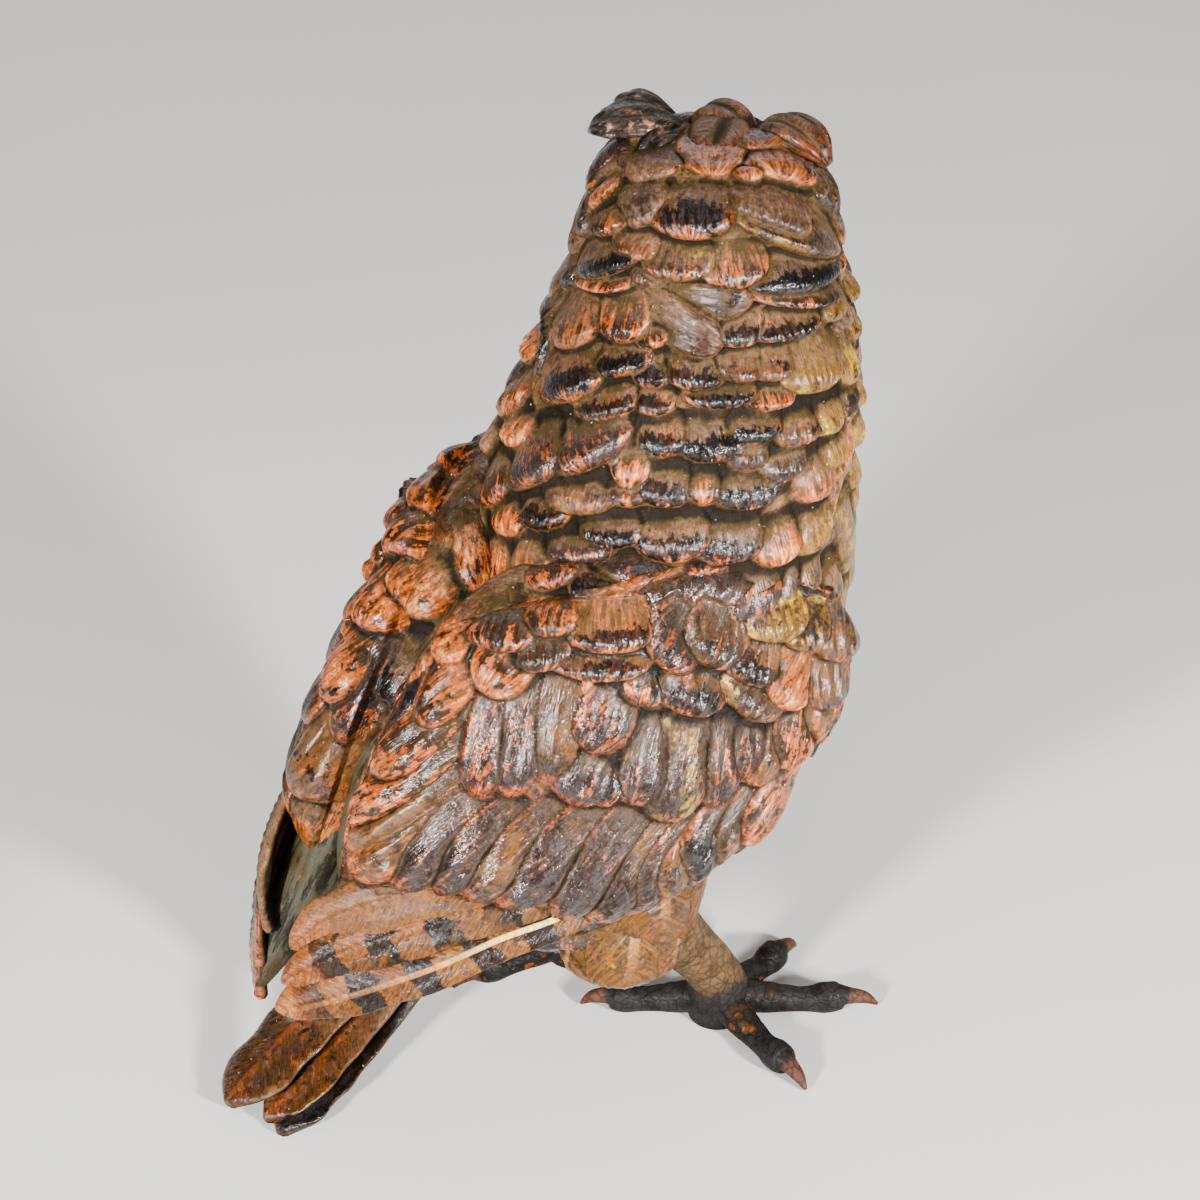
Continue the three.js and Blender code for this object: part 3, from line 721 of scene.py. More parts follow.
def volume(points, faces):
    """Six times the volume between the origin and faces, as a fan of triangles in each."""
    a = points[faces[:, 0]]
    total = 0.0
    for k in range(1, faces.shape[1] - 1):
        total += (a * np.cross(points[faces[:, k]], points[faces[:, k + 1]])).sum()
    return total


def skin(shell):
    """Points, four-sided faces, end fans and fields of one closed shell, turned outwards.

    The fields of an end point are the mean of those of the ring beside it.
    """
    grid = shell["grid"] - ORIGIN
    rings, count = grid.shape[:2]
    points = np.concatenate([grid.reshape(-1, 3), grid[0].mean(0)[None], grid[-1].mean(0)[None]]) / MILLI
    k = np.arange(count)
    after = (k + 1) % count
    low = np.arange(rings - 1)[:, None] * count
    quads = np.stack([low + k, low + after, low + count + after, low + count + k], -1).reshape(-1, 4)
    first, last = np.full(count, rings * count), (rings - 1) * count
    fans = np.concatenate([
        np.stack([first, after, k], -1),
        np.stack([first + 1, last + k, last + after], -1),
    ])
    if volume(points, quads) + volume(points, fans) < 0:
        quads, fans = quads[:, ::-1], fans[:, ::-1]
    fields = np.stack([shell[key].reshape(-1) for key in FIELDS + BARBS], -1)
    fields = np.concatenate([fields, shell["marks"].reshape(-1, len(MARKS))], -1)
    ends = fields.reshape(rings, count, -1)[[0, -1]].mean(1)
    return points, quads, fans, np.concatenate([fields, ends])


def put(name, shells, material):
    """Makes one object of closed shells, each a ring-by-ring grid closed by a point at both ends,
    with a vertex attribute for each field and a UV map of the places across and along a feather."""
    parts = [skin(shell) for shell in shells]
    starts = np.cumsum([0] + [len(part[0]) for part in parts])
    points = np.concatenate([part[0] for part in parts])
    quads = np.concatenate([part[1] + start for part, start in zip(parts, starts)])
    tris = np.concatenate([part[2] + start for part, start in zip(parts, starts)])
    fields = np.concatenate([part[3] for part in parts])
    mesh = bpy.data.meshes.new(name)
    mesh.vertices.add(len(points))
    mesh.vertices.foreach_set("co", points.reshape(-1).astype(np.float32))
    corners = np.concatenate([quads.reshape(-1), tris.reshape(-1)]).astype(np.int32)
    sizes = np.concatenate([np.full(len(quads), 4), np.full(len(tris), 3)])
    mesh.loops.add(len(corners))
    mesh.loops.foreach_set("vertex_index", corners)
    mesh.polygons.add(len(sizes))
    mesh.polygons.foreach_set("loop_start", (np.cumsum(sizes) - sizes).astype(np.int32))
    mesh.update(calc_edges=True)
    mesh.polygons.foreach_set("use_smooth", np.ones(len(sizes), bool))
    column = {key: number for number, key in enumerate(FIELDS + BARBS + MARKS)}
    for key in FIELDS + MARKS:
        layer = mesh.attributes.new(key, "FLOAT", "POINT")
        layer.data.foreach_set("value", fields[:, column[key]].astype(np.float32))
    uv = mesh.uv_layers.new(name="Barbs")
    pair = fields[corners][:, [column[key] for key in BARBS]]
    uv.data.foreach_set("uv", pair.reshape(-1).astype(np.float32))
    mesh.validate()
    mesh.update()
    piece = bpy.data.objects.new(name, mesh)
    bpy.context.scene.collection.objects.link(piece)
    mesh.materials.append(material)
    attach(piece, "root")
    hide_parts("owl")


def shell(grid, tip, side, seed, lift, across, along, marks=PLAIN_MARKS):
    """A grid with its feather fields filled in to the grid's size."""
    size = grid.shape[:2]
    fields = zip(FIELDS + BARBS, (tip, side, seed, lift, across, along))
    made = {key: np.broadcast_to(np.asarray(value, float), size).copy() for key, value in fields}
    marks = np.broadcast_to(np.asarray(marks, float), (*size, len(MARKS))).copy()
    return {"grid": grid, "marks": marks, **made}


# Trunk


def trunk_point(v, a):
    """Bare trunk: a half ellipse in front and one behind, at v millimetres down from the crown."""
    sections = np.asarray(TRUNK, float)
    run = np.concatenate([[0], np.cumsum(np.hypot(np.diff(sections[:, 0]), np.diff(sections[:, 2])))])
    z, y, half, front, behind = np.moveaxis(curve(np.column_stack([run, sections]), v), -1, 0)
    depth = np.where(np.sin(a) < 0, front, behind)
    return np.stack([half * np.cos(a), y + depth * np.sin(a), z], -1), run[-1]


def trunk_grid(top, bottom, rings, columns):
    """Bare trunk from one distance down the crown to another, with its normals, places down
    and round it, and its whole length."""
    _, length = trunk_point(np.zeros(1), np.zeros(1))
    v = np.linspace(max(top, 0.6), min(bottom, length - 0.6), rings)
    v, a = np.meshgrid(v, ring(columns), indexing="ij")
    grid, _ = trunk_point(v, a)
    middle = grid.mean(1, keepdims=True) + np.array([0, 0, -6.0]) * (v < 30)[..., None]
    middle = middle + np.array([0, 0, 8.0]) * (v > length - 40)[..., None]
    return grid, normals(grid, middle), v, a, length


def trunk_shell(height, top, bottom, rings, columns, found):
    """Part of the trunk, pushed outwards by feathers: listed ones where the photograph shows
    them and rows of lobes elsewhere.  Each lip also leans towards its feather's tip, by a part
    of its height.  The two parts of the trunk dip under each other where they meet."""
    grid, out, v, a, length = trunk_grid(top - SEAM, bottom + SEAM, rings, columns)
    wave = 0.16 * np.sin(3 * a + v / 23) + 0.1 * np.sin(5 * a - v / 17)
    x = a / (2 * np.pi) * TRUNK_LOBES + wave * 0.8
    neck = NECK_END / NECK_PITCH
    row = np.interp(v, [0, NECK_END, length], [0, neck, neck + (length - NECK_END) / BELLY_PITCH])
    row = row + 0.22 * np.sin(2 * a + 1.3 + v / 31) + 0.12 * np.sin(7 * a + v / 9)
    flat = grid - HEAD_CENTRE
    back, across = -(flat @ FACE), flat @ SIDE
    crown = lobes(across / 17 + 0.5, (back + 34) / 14.5, 0, 21, width=0.66, length=1.7)
    h, t, w, s = overlay(v < 27 + 2.5 * np.sin(4 * a), crown, lobes(x, row, TRUNK_LOBES, 3))
    h = h * height * 0.9
    wide, long = np.full_like(h, 9.0), np.full_like(h, 21.0)
    marks = guess_marks(s, 0.4, 0.35, 0.45, 0.12, 0.35)
    way = unit(np.gradient(grid, axis=0))
    laid = drape(grid, out, found, height, 4)
    crowd = soften((laid[0] > 0).astype(float), 25)
    h = h * (1 - 0.62 * step(0.1, 0.6, crowd))
    bare = (h, t, w, s, wide, long, marks, way)
    h, t, w, s, wide, long, marks, way = overlay(laid[0] > 0.2 * h, laid, bare)
    fade = np.clip(v / 14, 0.55, 1) * np.clip((length - v) / 20, 0, 1)
    strokes = 0.26 * np.cos(w * wide * (2.2 + s) + 9 * s + 0.9 * np.sin(t * 7 + 5 * s)) * step(0.25, 0.7, t)
    strokes = strokes * np.clip(1 - w * w, 0, 1) * step(0.3, 0.6, scatter(np.round(s * 997), 0 * s, 2))
    above, below = np.clip(top - v, 0, SEAM), np.clip(v - bottom, 0, SEAM)
    dip = 0.25 * above * (top > 5) + 0.25 * below * (bottom < length - 5)
    h = settle(h, height)
    push = (h + strokes) * fade - 0.9 - dip
    moved = grid + out * push[..., None] + way * (LEAN * h * fade)[..., None]
    return shell(moved, t, w, s, cavity(h, height), w * wide, t * long, marks)


# Wings


def section_point(sections, u, c):
    """Flattened form: from the middle of two edges, a rounded cosine towards the lower edge and
    a rounded sine along the bulge, the inner side a little deeper."""
    row = curve(sections, u)
    upper, lower, bulge = row[..., 0:3], row[..., 3:6], row[..., 6:9]
    co, si = (np.sign(part) * np.abs(part) ** 0.8 for part in (np.cos(c), np.sin(c)))
    si = np.where(si < 0, si * 1.2, si)
    return (upper + lower) / 2 + (lower - upper) / 2 * co[..., None] + bulge * si[..., None]


def wing_shell(side, factor, rings=330, outer=250, inner=30):
    """Wing grid from the wrist to the longest covert, with listed feathers on its outer face.

    Across the outer face q runs from 0 at the upper edge to 1 at the lower one.  Small
    coverts fill what the listed feathers leave open.  The left wing is the mirrored right
    one, with its own feathers on top where the photograph shows them.
    """
    u = np.linspace(0.003, 0.998, rings)
    q = np.linspace(0, 1, outer)
    c = np.concatenate([np.pi * (1 - q), -np.pi * (np.arange(1, inner + 1) / (inner + 1))])
    u, c = np.meshgrid(u, c, indexing="ij")
    grid = section_point(WING, u, c)
    out = normals(grid)
    q = np.clip(1 - c / np.pi, 0, 1)
    h, t, w, s = lobes((u - 0.3 * q) * 12, q * 7, 0, 40 if side < 0 else 70, width=0.6)
    way = unit(0.6 * unit(np.gradient(grid, axis=0)) + 0.4 * unit(np.gradient(grid, axis=1)))
    coats = [drape(grid, out, seats(grid, out, RIGHT_LAY), WING_RELIEF, 31)]
    if side > 0:
        grid, out, way = grid * MIRROR, out * MIRROR, way * MIRROR
        coats[0][-1] = coats[0][-1] * MIRROR
        coats.append(drape(grid, out, seats(grid, out, LEFT_LAY), WING_RELIEF, 51))
    marks = guess_marks(s, 0.3, 0.5, 0.5, 0.1, 0.3)
    fields = (h * 2.2, t, w, s, np.full_like(h, 6.0), np.full_like(h, 18.0), marks, way)
    for laid in coats:
        fields = overlay(laid[0] > 0, laid, fields)
    h, t, w, s, wide, long, marks, way = fields
    fade = np.clip(u / 0.05, 0, 1) * np.clip((1 - u) / 0.1, 0.15, 1) * (c >= 0)
    fade = fade * np.clip(q / 0.04, 0.2, 1) * np.clip((1 - q) / 0.04, 0.2, 1)
    narrow = np.clip(long / wide, 1, 4)
    strokes = 0.36 * np.cos(w * wide * 2.2 / np.sqrt(narrow) + 7 * s + 0.8 * np.sin(5 * t + 6 * s))
    strokes = strokes * step(0.1, 0.5, t) * np.clip(1 - w * w, 0, 1)
    groove = -0.9 * np.exp(-((w - 0.35 * (scatter(s, 0 * s, 8) - 0.5)) / 0.07) ** 2)
    groove = groove * step(0.1, 0.4, t) * (wide > 9)
    h = settle(h, WING_RELIEF)
    moved = grid + out * ((h + strokes + groove) * fade * factor)[..., None]
    moved = moved + way * (LEAN * h * fade * factor)[..., None]
    return shell(moved, t, w, s, cavity(h, WING_RELIEF), w * wide, t * long, marks)


def fan_shell(side, rings=120, columns=90):
    """Fan of the folded flight feathers, with long ridges that run towards the wing tip."""
    u, c = np.meshgrid(np.linspace(0, 0.99, rings), ring(columns), indexing="ij")
    grid = section_point(FAN, u, c)
    q = 1 - np.abs(np.angle(np.exp(1j * c))) / np.pi
    place = q * 5 + 0.4 * u
    w = 2 * (place - np.floor(place)) - 1
    ridge = np.clip(1 - np.abs(w) ** 2.4, 0, 1) ** 0.6
    grid = grid + normals(grid) * (1.1 * ridge * np.clip((1 - u) / 0.2, 0, 1))[..., None]
    if side > 0:
        grid = grid * MIRROR
    return shell(grid, u, w, scatter(np.floor(place), 0 * place, 9), 0.3 + 0.7 * ridge, w * 6, u * 70)


def feather_shell(half, line, profile, face, thickness, seed, marks, shaft_at=0.0, rings=180, columns=48):
    """Long feather: a lens section swept along a line, with a round shaft at a place across it
    and a face turned to a given side.  The vane sinks a little on both sides of the shaft, and
    slanted barbs run out from it.  The profile gives its half width as a part of the widest."""
    knots = np.asarray(line, float)
    run = running(knots)
    length = run[-1]
    t = 1 - (1 - np.linspace(0, 1, rings)) ** 1.25
    path = curve(np.column_stack([run / length, knots]), t)
    tangent = unit(np.gradient(path, axis=0))
    across = unit(np.cross(tangent, np.asarray(face, float)))
    normal = np.cross(across, tangent)
    c = ring(columns)
    w, top = np.cos(c)[None], np.sin(c)[None]
    wide = half * curve(profile, t)
    t = t[:, None]
    notch = 0.05 * np.sin(t * 31 + 9 * seed) * step(0.3, 0.8, t) * (1 - step(0.93, 1, t))
    wide = wide * (1 + notch * np.abs(w))
    thick = np.minimum(thickness, wide)
    off = w - shaft_at
    shaft = 0.75 * np.exp(-((off / 0.075) ** 2)) * (1 - 0.6 * t)
    shaft = shaft - 0.35 * np.exp(-((np.abs(off) - 0.25) / 0.16) ** 2)
    place = t * length - np.abs(off) * wide * 1.1
    barbs = 0.13 * np.cos(place * 2 * np.pi / QUILL_BARB_PITCH + 3 * np.sin(t * 9 + seed))
    rise = thick * top + np.where(top > 0, shaft + barbs * (1 - np.abs(w)), -shaft * 0.4)
    grid = sweep(path, across, normal, wide * w, rise)
    grid[..., 2] = np.maximum(grid[..., 2], 0)
    lift = np.clip(0.42 + 0.45 * top + 1.1 * barbs * (1 - np.abs(w)), 0, 1)
    return shell(grid, t, w, seed, lift, wide * off, t * length, marks)


def tuck(line):
    """Line of a left flight feather: the right one mirrored, closer in and lower at its tip."""
    points = np.array(line, float)
    k = np.linspace(0, 1, len(points))
    return np.stack([-LEFT_TUCK * points[:, 0], points[:, 1] - 2, points[:, 2] - LEFT_DROP * k], -1)


# Limbs


def limb_shell(rows, rings, columns, flat=1.0, facing=(0, 0, 1), seed=0.5):
    """Round limb along rows of parameter, x, y, z and radius."""
    t = np.linspace(0, 1, rings)
    values = curve(rows, t)
    path, radius = values[:, :3], values[:, 3][:, None]
    tangent = unit(np.gradient(path, axis=0))
    across = unit(np.cross(tangent, np.asarray(facing, float)))
    c = ring(columns)
    co, si = np.cos(c)[None], np.sin(c)[None]
    grid = sweep(path, across, np.cross(across, tangent), radius * co, radius * flat * si)
    return shell(grid, t[:, None], si, seed, 1.0, c[None] * 5, running(path)[:, None])


def toe_shell(place, turn, length, seed):
    """One toe: pads under it, a swollen last joint and a curved claw."""
    angle = math.radians(place["turn"] + turn * place["spread"])
    ahead, aside = math.cos(angle), math.sin(angle)
    rows = [(t, place["x"] - aside * s * length, place["y"] - ahead * s * length, z, radius)
            for t, s, z, radius in TOE]
    piece = limb_shell(rows, 90, 32, seed=seed)
    t, up = piece["tip"], piece["side"]
    scutes = 0.16 * np.abs(np.sin(t * 34)) * step(0.1, 0.7, up) * (t < 0.72)
    piece["grid"][..., 2] = np.maximum(piece["grid"][..., 2] + scutes, 0)
    return piece


def foot_shells(place, hip, seed):
    """A leg and its four toes."""
    foot = np.array([place["x"], place["y"]])
    rows = []
    for t, k, z, radius in ((0, 0, hip[2], 10), (0.35, 0.55, 31, 8), (0.65, 0.9, 17, 7.6),
                            (0.85, 1, 8, 8.8), (1, 1, -2, 8)):
        rows.append((t, *(np.array(hip[:2]) * (1 - k) + foot * k), z, radius))
    leg = limb_shell(rows, 90, 48, facing=(0, 1, 0), seed=seed)
    leg["grid"][..., 2] = np.maximum(leg["grid"][..., 2], 0)
    leg["tip"] *= 0.7
    toes = zip(place["toes"], TOE_SCALES)
    return [leg] + [toe_shell(place, turn, TOE_LENGTH * scale, seed) for turn, scale in toes]


def thigh_shell(x, y, lean, back, seed, rings=130, columns=190):
    """Feathered thigh: a drop covered with hanging lobes, which leans out and back lower down."""
    z, half, depth = curve(THIGH, np.linspace(0, 1, rings)).T[:, :, None]
    a = ring(columns)[None]
    low = (75 - z) / 45
    middle = (x + lean * low, y + back * low)
    grid = np.stack([middle[0] + half * np.cos(a), middle[1] + depth * np.sin(a), z + 0 * a], -1)
    row = (86 - z) / 17 + 0.2 * np.sin(3 * a)
    around = a / (2 * np.pi) * THIGH_LOBES + 0 * z
    h, t, w, s = lobes(around, row, THIGH_LOBES, seed, length=1.9, width=0.66)
    h = soften(h, 2)
    fade = np.clip((z - 40) / 4, 0, 1)
    shaft = 0.5 * np.exp(-((w / 0.09) ** 2)) * step(0.15, 0.4, t)
    barbs = 0.14 * np.cos((t * 28 - np.abs(w) * 8) * 2 * np.pi / 2.4)
    grid = grid + normals(grid) * ((THIGH_RELIEF * h + shaft + barbs) * fade - 1.6)[..., None]
    grid[..., 2] -= 2.5 * h * fade
    lift = cavity(THIGH_RELIEF * h, THIGH_RELIEF)
    return shell(grid, t, w, s, lift, w * 9, t * 30, guess_marks(s, 0.05, 0.15, 0.3, 0.2, 0.4))


def covert_limb(rows, flat, facing, around, pitch, relief, seed, feathers=(), rings=120, columns=130):
    """Round limb covered with rows of long flat feathers, with listed ones on top."""
    piece = limb_shell(rows, rings, columns, flat, facing)
    grid, along = piece["grid"], piece["along"]
    out = normals(grid)
    a = np.arange(columns)[None] / columns * around
    h, t, w, s = lobes(a + 0 * along, along / pitch, around, seed, length=1.9)
    h = h * relief
    marks = guess_marks(s, 0.2, 0.3, 0.3, 0.05, 0.8)
    if feathers:
        laid = drape(grid, out, seats(grid, out, feathers, 5), relief * 1.2, seed)
        bare = (0.4 * h, t, w, s, marks)
        h, t, w, s, marks = overlay(laid[0] > 0, (*laid[:4], laid[6]), bare)
    h = soften(h, 2)
    grid = grid + out * (h - 1.0)[..., None]
    return shell(grid, t, w, s, cavity(h, relief), w * 7, t * 30, marks)


def rump_shell():
    """Lower back between the wings, down to the root of the tail."""
    return covert_limb(RUMP, 0.75, BACKWARD, 8, 20, 2.2, 90)


def scapular_shell(side):
    """Rows of feathers over the seam between the back and a wing's upper edge."""
    rows = [(t, -side * x, *rest) for t, x, *rest in SCAPULAR]
    lay = MANTLE_LAY + (RIGHT_LAY if side < 0 else LEFT_LAY)
    feathers = [feather for feather in lay if feather[-1] != "dusty"]
    return covert_limb(rows, 1.0, BACKWARD, 5, 15, 3.2, 97 + side, feathers, 170, 150)


def undertail_shell():
    """Long feathers under the tail, from the belly back to the tail's root."""
    return covert_limb(UNDERTAIL, 0.9, (0, 1, 1), 6, 18, 2.4, 95)


def web_shell(rings=130, columns=90):
    """Sunken web that closes the gap between the upper edges of the two wings, with shallow
    ridges along it."""
    piece = limb_shell(WEB, rings, columns, 0.8, BACKWARD)
    grid, along = piece["grid"], piece["along"]
    a = ring(columns)[None]
    ridge = 0.5 * np.abs(np.sin(4 * a + 1.6 * np.sin(along / 16))) + 0.2 * np.sin(along / 4 + 5 * a)
    piece["grid"] = grid + normals(grid) * ridge[..., None]
    piece["lift"] = np.clip(0.3 + ridge, 0, 1)
    return piece


# Head pieces


def on_head(side, out, z):
    """Point by its way to the owl's left, its way out of the face and its height."""
    return np.array([*(HEAD_CENTRE + SIDE * side + FACE * out)[:2], z])


def dish(axes, radius, a, high, oval=1.0):
    """Grid of rings about an axis, by their radius, their angles and their height along it."""
    middle, out, flat, up = axes
    return (middle + flat * (radius * np.cos(a) * oval)[..., None]
            + up * (radius * np.sin(a) * oval)[..., None] + out * (high + 0 * a)[..., None])


def face_axes(side):
    """Middle of an eye, the way it looks, and the two ways across the disc round it."""
    angle = side * DISC_TURN
    co, si = math.cos(angle), math.sin(angle)
    out = unit(np.array([FACE[0] * co - FACE[1] * si, FACE[0] * si + FACE[1] * co, 0.05]))
    flat = unit(np.cross(np.array([0, 0, 1.0]), out))
    return on_head(side * 12.5, 29.5, 237), out, flat, np.cross(out, flat)


def disc_shell(axes, rings=70, columns=140):
    """Facial disc: a dish turned about its axis, with a raised rim of short feathers, strokes that
    run out from the eye, and a lid round the eye."""
    k = np.linspace(0, 1, rings)[:, None]
    radius, high = np.moveaxis(curve(DISC, k[:, 0]), -1, 0)[:, :, None]
    a = ring(columns)[None]
    stroke = np.cos(a * 34 + 2.5 * np.sin(radius * 0.9))
    band = step(0.25, 0.4, k) * (1 - step(0.86, 0.92, k))
    rim = np.abs(np.sin(a * 11)) * step(0.66, 0.76, k) * (1 - step(0.84, 0.9, k))
    high = high + 0.28 * stroke * band + 0.5 * rim
    grid = dish(axes, radius, a, high, 1 + 0.06 * np.cos(2 * a))
    return shell(grid, k, np.cos(a * 17), 0.3, 0.5 + 0.5 * band, a * 5, radius)


def eye_shell(axes, rings=40, columns=56):
    """Eye: a shallow dome, with the tip field running from the middle of the pupil to the lid."""
    k = np.linspace(0.02, 1, rings)[:, None]
    a = ring(columns)[None]
    radius = EYE_RADIUS * np.sin(k * np.pi * 0.62)
    high = 6.2 * np.cos(k * np.pi * 0.62) - 1.6
    return shell(dish(axes, radius, a, high), radius / EYE_RADIUS, 0, 0.5, 1, a, radius)


def head_rows(rows):
    """Limb rows whose places are given by side, way out of the face and height."""
    return [(t, *on_head(side, out, z), radius) for t, side, out, z, radius in rows]


def beak_shell():
    """Hooked beak: a limb that bends out, down and in to a point, with a sharper ridge in front."""
    return limb_shell(head_rows(BEAK), 60, 32, 1.15, tuple(SIDE))


def brow_shells():
    """Brow: two short ridges of feathers that run from between the eyes up to the tufts."""
    both = [[(t, side * across, *rest) for t, across, *rest in BROW] for side in (-1, 1)]
    return [limb_shell(head_rows(rows), 50, 30, 0.8, (0, 0, 1), 0.4) for rows in both]


def leaf_shells(leaves, seed, flat=0.5, ridges=7, columns=64):
    """Curled leaves of short feathers on the head: a flattened limb that swells and closes to a
    blunt tip, with ridges that run along it."""
    shells = []
    for number, (radius, way) in enumerate(leaves):
        rows = [(k / 4, *on_head(*place), radius * part)
                for k, (place, part) in enumerate(zip(way, LEAF_SWELL))]
        piece = limb_shell(rows, 90, columns, flat, (0, 0, 1), seed + number * 0.13)
        a = ring(columns)[None]
        t = piece["tip"]
        groove = 0.42 * np.cos(ridges * a + 2.5 * t) * np.sin(np.pi * np.clip(t, 0, 1))
        piece["grid"] = piece["grid"] + normals(piece["grid"]) * groove[..., None]
        piece["lift"] = np.clip(0.55 + groove, 0, 1)
        piece["side"] = np.cos(a) + 0 * t
        piece["tip"] = t * 0.93
        piece["across"] = radius * np.cos(a) + 0 * t
        shells.append(piece)
    return shells


# Paint


class Graph:
    """Short way to write a node material: each call adds one node and gives its output socket."""

    def __init__(self, name):
        self.material = bpy.data.materials.new(name)
        self.material.use_nodes = True
        self.tree = self.material.node_tree
        self.tree.nodes.clear()
        self.object = self.node("ShaderNodeTexCoord").outputs["Object"]

    def node(self, kind, **settings):
        made = self.tree.nodes.new(kind)
        for key, value in settings.items():
            setattr(made, key, value)
        return made

    def put(self, socket, value):
        """Links a socket to another one, or sets its number or its colour."""
        if isinstance(value, bpy.types.NodeSocket):
            self.tree.links.new(value, socket)
        elif socket.type == "RGBA":
            socket.default_value = (*tuple(value)[:3], 1.0)
        elif value is not None:
            socket.default_value = value

    def fill(self, made, *values):
        """Puts values in a node's inputs from the first on."""
        for socket, value in zip(made.inputs, values):
            self.put(socket, value)
        return made.outputs[0]

    def math(self, operation, a, b=None):
        return self.fill(self.node("ShaderNodeMath", operation=operation), a, b)

    def add(self, *items):
        """Sum of values."""
        return functools.reduce(lambda one, two: self.math("ADD", one, two), items)

    def mul(self, *items):
        """Product of values."""
        return functools.reduce(lambda one, two: self.math("MULTIPLY", one, two), items)

    def most(self, one, two):
        """The greater of two values."""
        return self.math("MAXIMUM", one, two)

    def weigh(self, *pairs):
        """Sum of values, each times its weight."""
        return self.add(*[self.mul(value, weight) for value, weight in pairs])

    def vary(self, value, *pairs):
        """A value moved up and down by others: each of them less a half, times its weight."""
        moves = [self.mul(self.math("SUBTRACT", other, 0.5), weight) for other, weight in pairs]
        return self.add(value, *moves)

    def span(self, value, low, high, out_low=0.0, out_high=1.0):
        """Smooth step of a value from low to high, brought to the range out_low to out_high."""
        made = self.node("ShaderNodeMapRange", interpolation_type="SMOOTHSTEP")
        return self.fill(made, value, low, high, out_low, out_high)

    def noise(self, vector, scale, detail=3.0, rough=0.6):
        made = self.node("ShaderNodeTexNoise")
        for key, value in (("Vector", vector), ("Scale", scale), ("Detail", detail), ("Roughness", rough)):
            self.put(made.inputs[key], value)
        return made.outputs["Fac"]

    def attribute(self, name):
        return self.node("ShaderNodeAttribute", attribute_name=name).outputs["Fac"]

    def blend(self, amount, first, second, kind="MIX"):
        """The second colour over the first by an amount."""
        made = self.node("ShaderNodeMix", data_type="RGBA", blend_type=kind)
        for number, value in ((0, amount), (6, first), (7, second)):
            self.put(made.inputs[number], value)
        return made.outputs[2]

    def shade(self, amount, colour, grey):
        """A colour multiplied by a grey value by an amount."""
        return self.blend(amount, colour, self.vector(grey, grey, grey), "MULTIPLY")

    def vector(self, x, y, z):
        return self.fill(self.node("ShaderNodeCombineXYZ"), x, y, z)

    def parts(self, vector):
        made = self.node("ShaderNodeSeparateXYZ")
        self.put(made.inputs[0], vector)
        return made.outputs

    def finish(self, colour, rough, metal, height, distance, coat=0.25, coat_rough=0.25):
        """The finished material: paint with a bump and a clear coat."""
        bump = self.node("ShaderNodeBump")
        skin = self.node("ShaderNodeBsdfPrincipled")
        for made, key, value in (
            (bump, "Strength", 0.8), (bump, "Distance", distance), (bump, "Height", height),
            (skin, "Base Color", colour), (skin, "Roughness", rough), (skin, "Metallic", metal),
            (skin, "Specular IOR Level", 0.1), (skin, "Coat Weight", coat),
            (skin, "Coat Roughness", coat_rough),
            (skin, "Normal", bump.outputs[0]), (skin, "Coat Normal", bump.outputs[0]),
        ):
            self.put(made.inputs[key], value)
        self.put(self.node("ShaderNodeOutputMaterial").inputs[0], skin.outputs[0])
        return self.material


class FeatherGraph(Graph):
    """The fields, noises and barbs that all coats of a feather's paint share.

    The streaks follow the barbs: they run along the feather where long_barbs is 0, and slant
    back from its shaft where it is 1.
    """

    def __init__(self, name, long_barbs):
        super().__init__(name)
        self.tip, self.side, self.seed, self.lift = map(self.attribute, FIELDS)
        self.mark, self.gloss, self.rub, self.gold, self.dust = map(self.attribute, MARKS)
        self.across, self.along, _ = self.parts(self.node("ShaderNodeUVMap", uv_map="Barbs").outputs[0])
        self.reach = self.math("ABSOLUTE", self.across)
        self.x, self.y, self.z = self.parts(self.object)
        self.patch = self.noise(self.object, 55)
        self.cloud = self.noise(self.vector(self.add(self.x, 3.1), self.y, self.z), 85, 4.0, 0.65)
        self.mottle = self.noise(self.object, 330, 4.0, 0.7)
        self.flake = self.noise(self.object, 700, 3.0, 0.75)
        self.grain = self.noise(self.object, 1500)
        chevron = self.math("SUBTRACT", self.along, self.mul(self.reach, 1.15))
        first = self.weigh((self.across, 1 - long_barbs), (chevron, long_barbs))
        second = self.weigh((self.along, 0.2 * (1 - long_barbs)), (self.reach, 0.2 * long_barbs))
        self.streak = self.noise(self.vector(first, second, self.mul(self.seed, 30)), 0.95)
        self.fine = self.noise(self.vector(first, self.mul(second, 0.7), self.seed), 2.6, 2.0, 0.5)
        edge = self.vary(self.math("ABSOLUTE", self.side), (self.mottle, 0.3))
        lip = self.vary(self.tip, (self.mottle, 0.2))
        self.border = self.most(self.span(edge, 0.74, 0.9), self.span(lip, 0.86, 0.95))


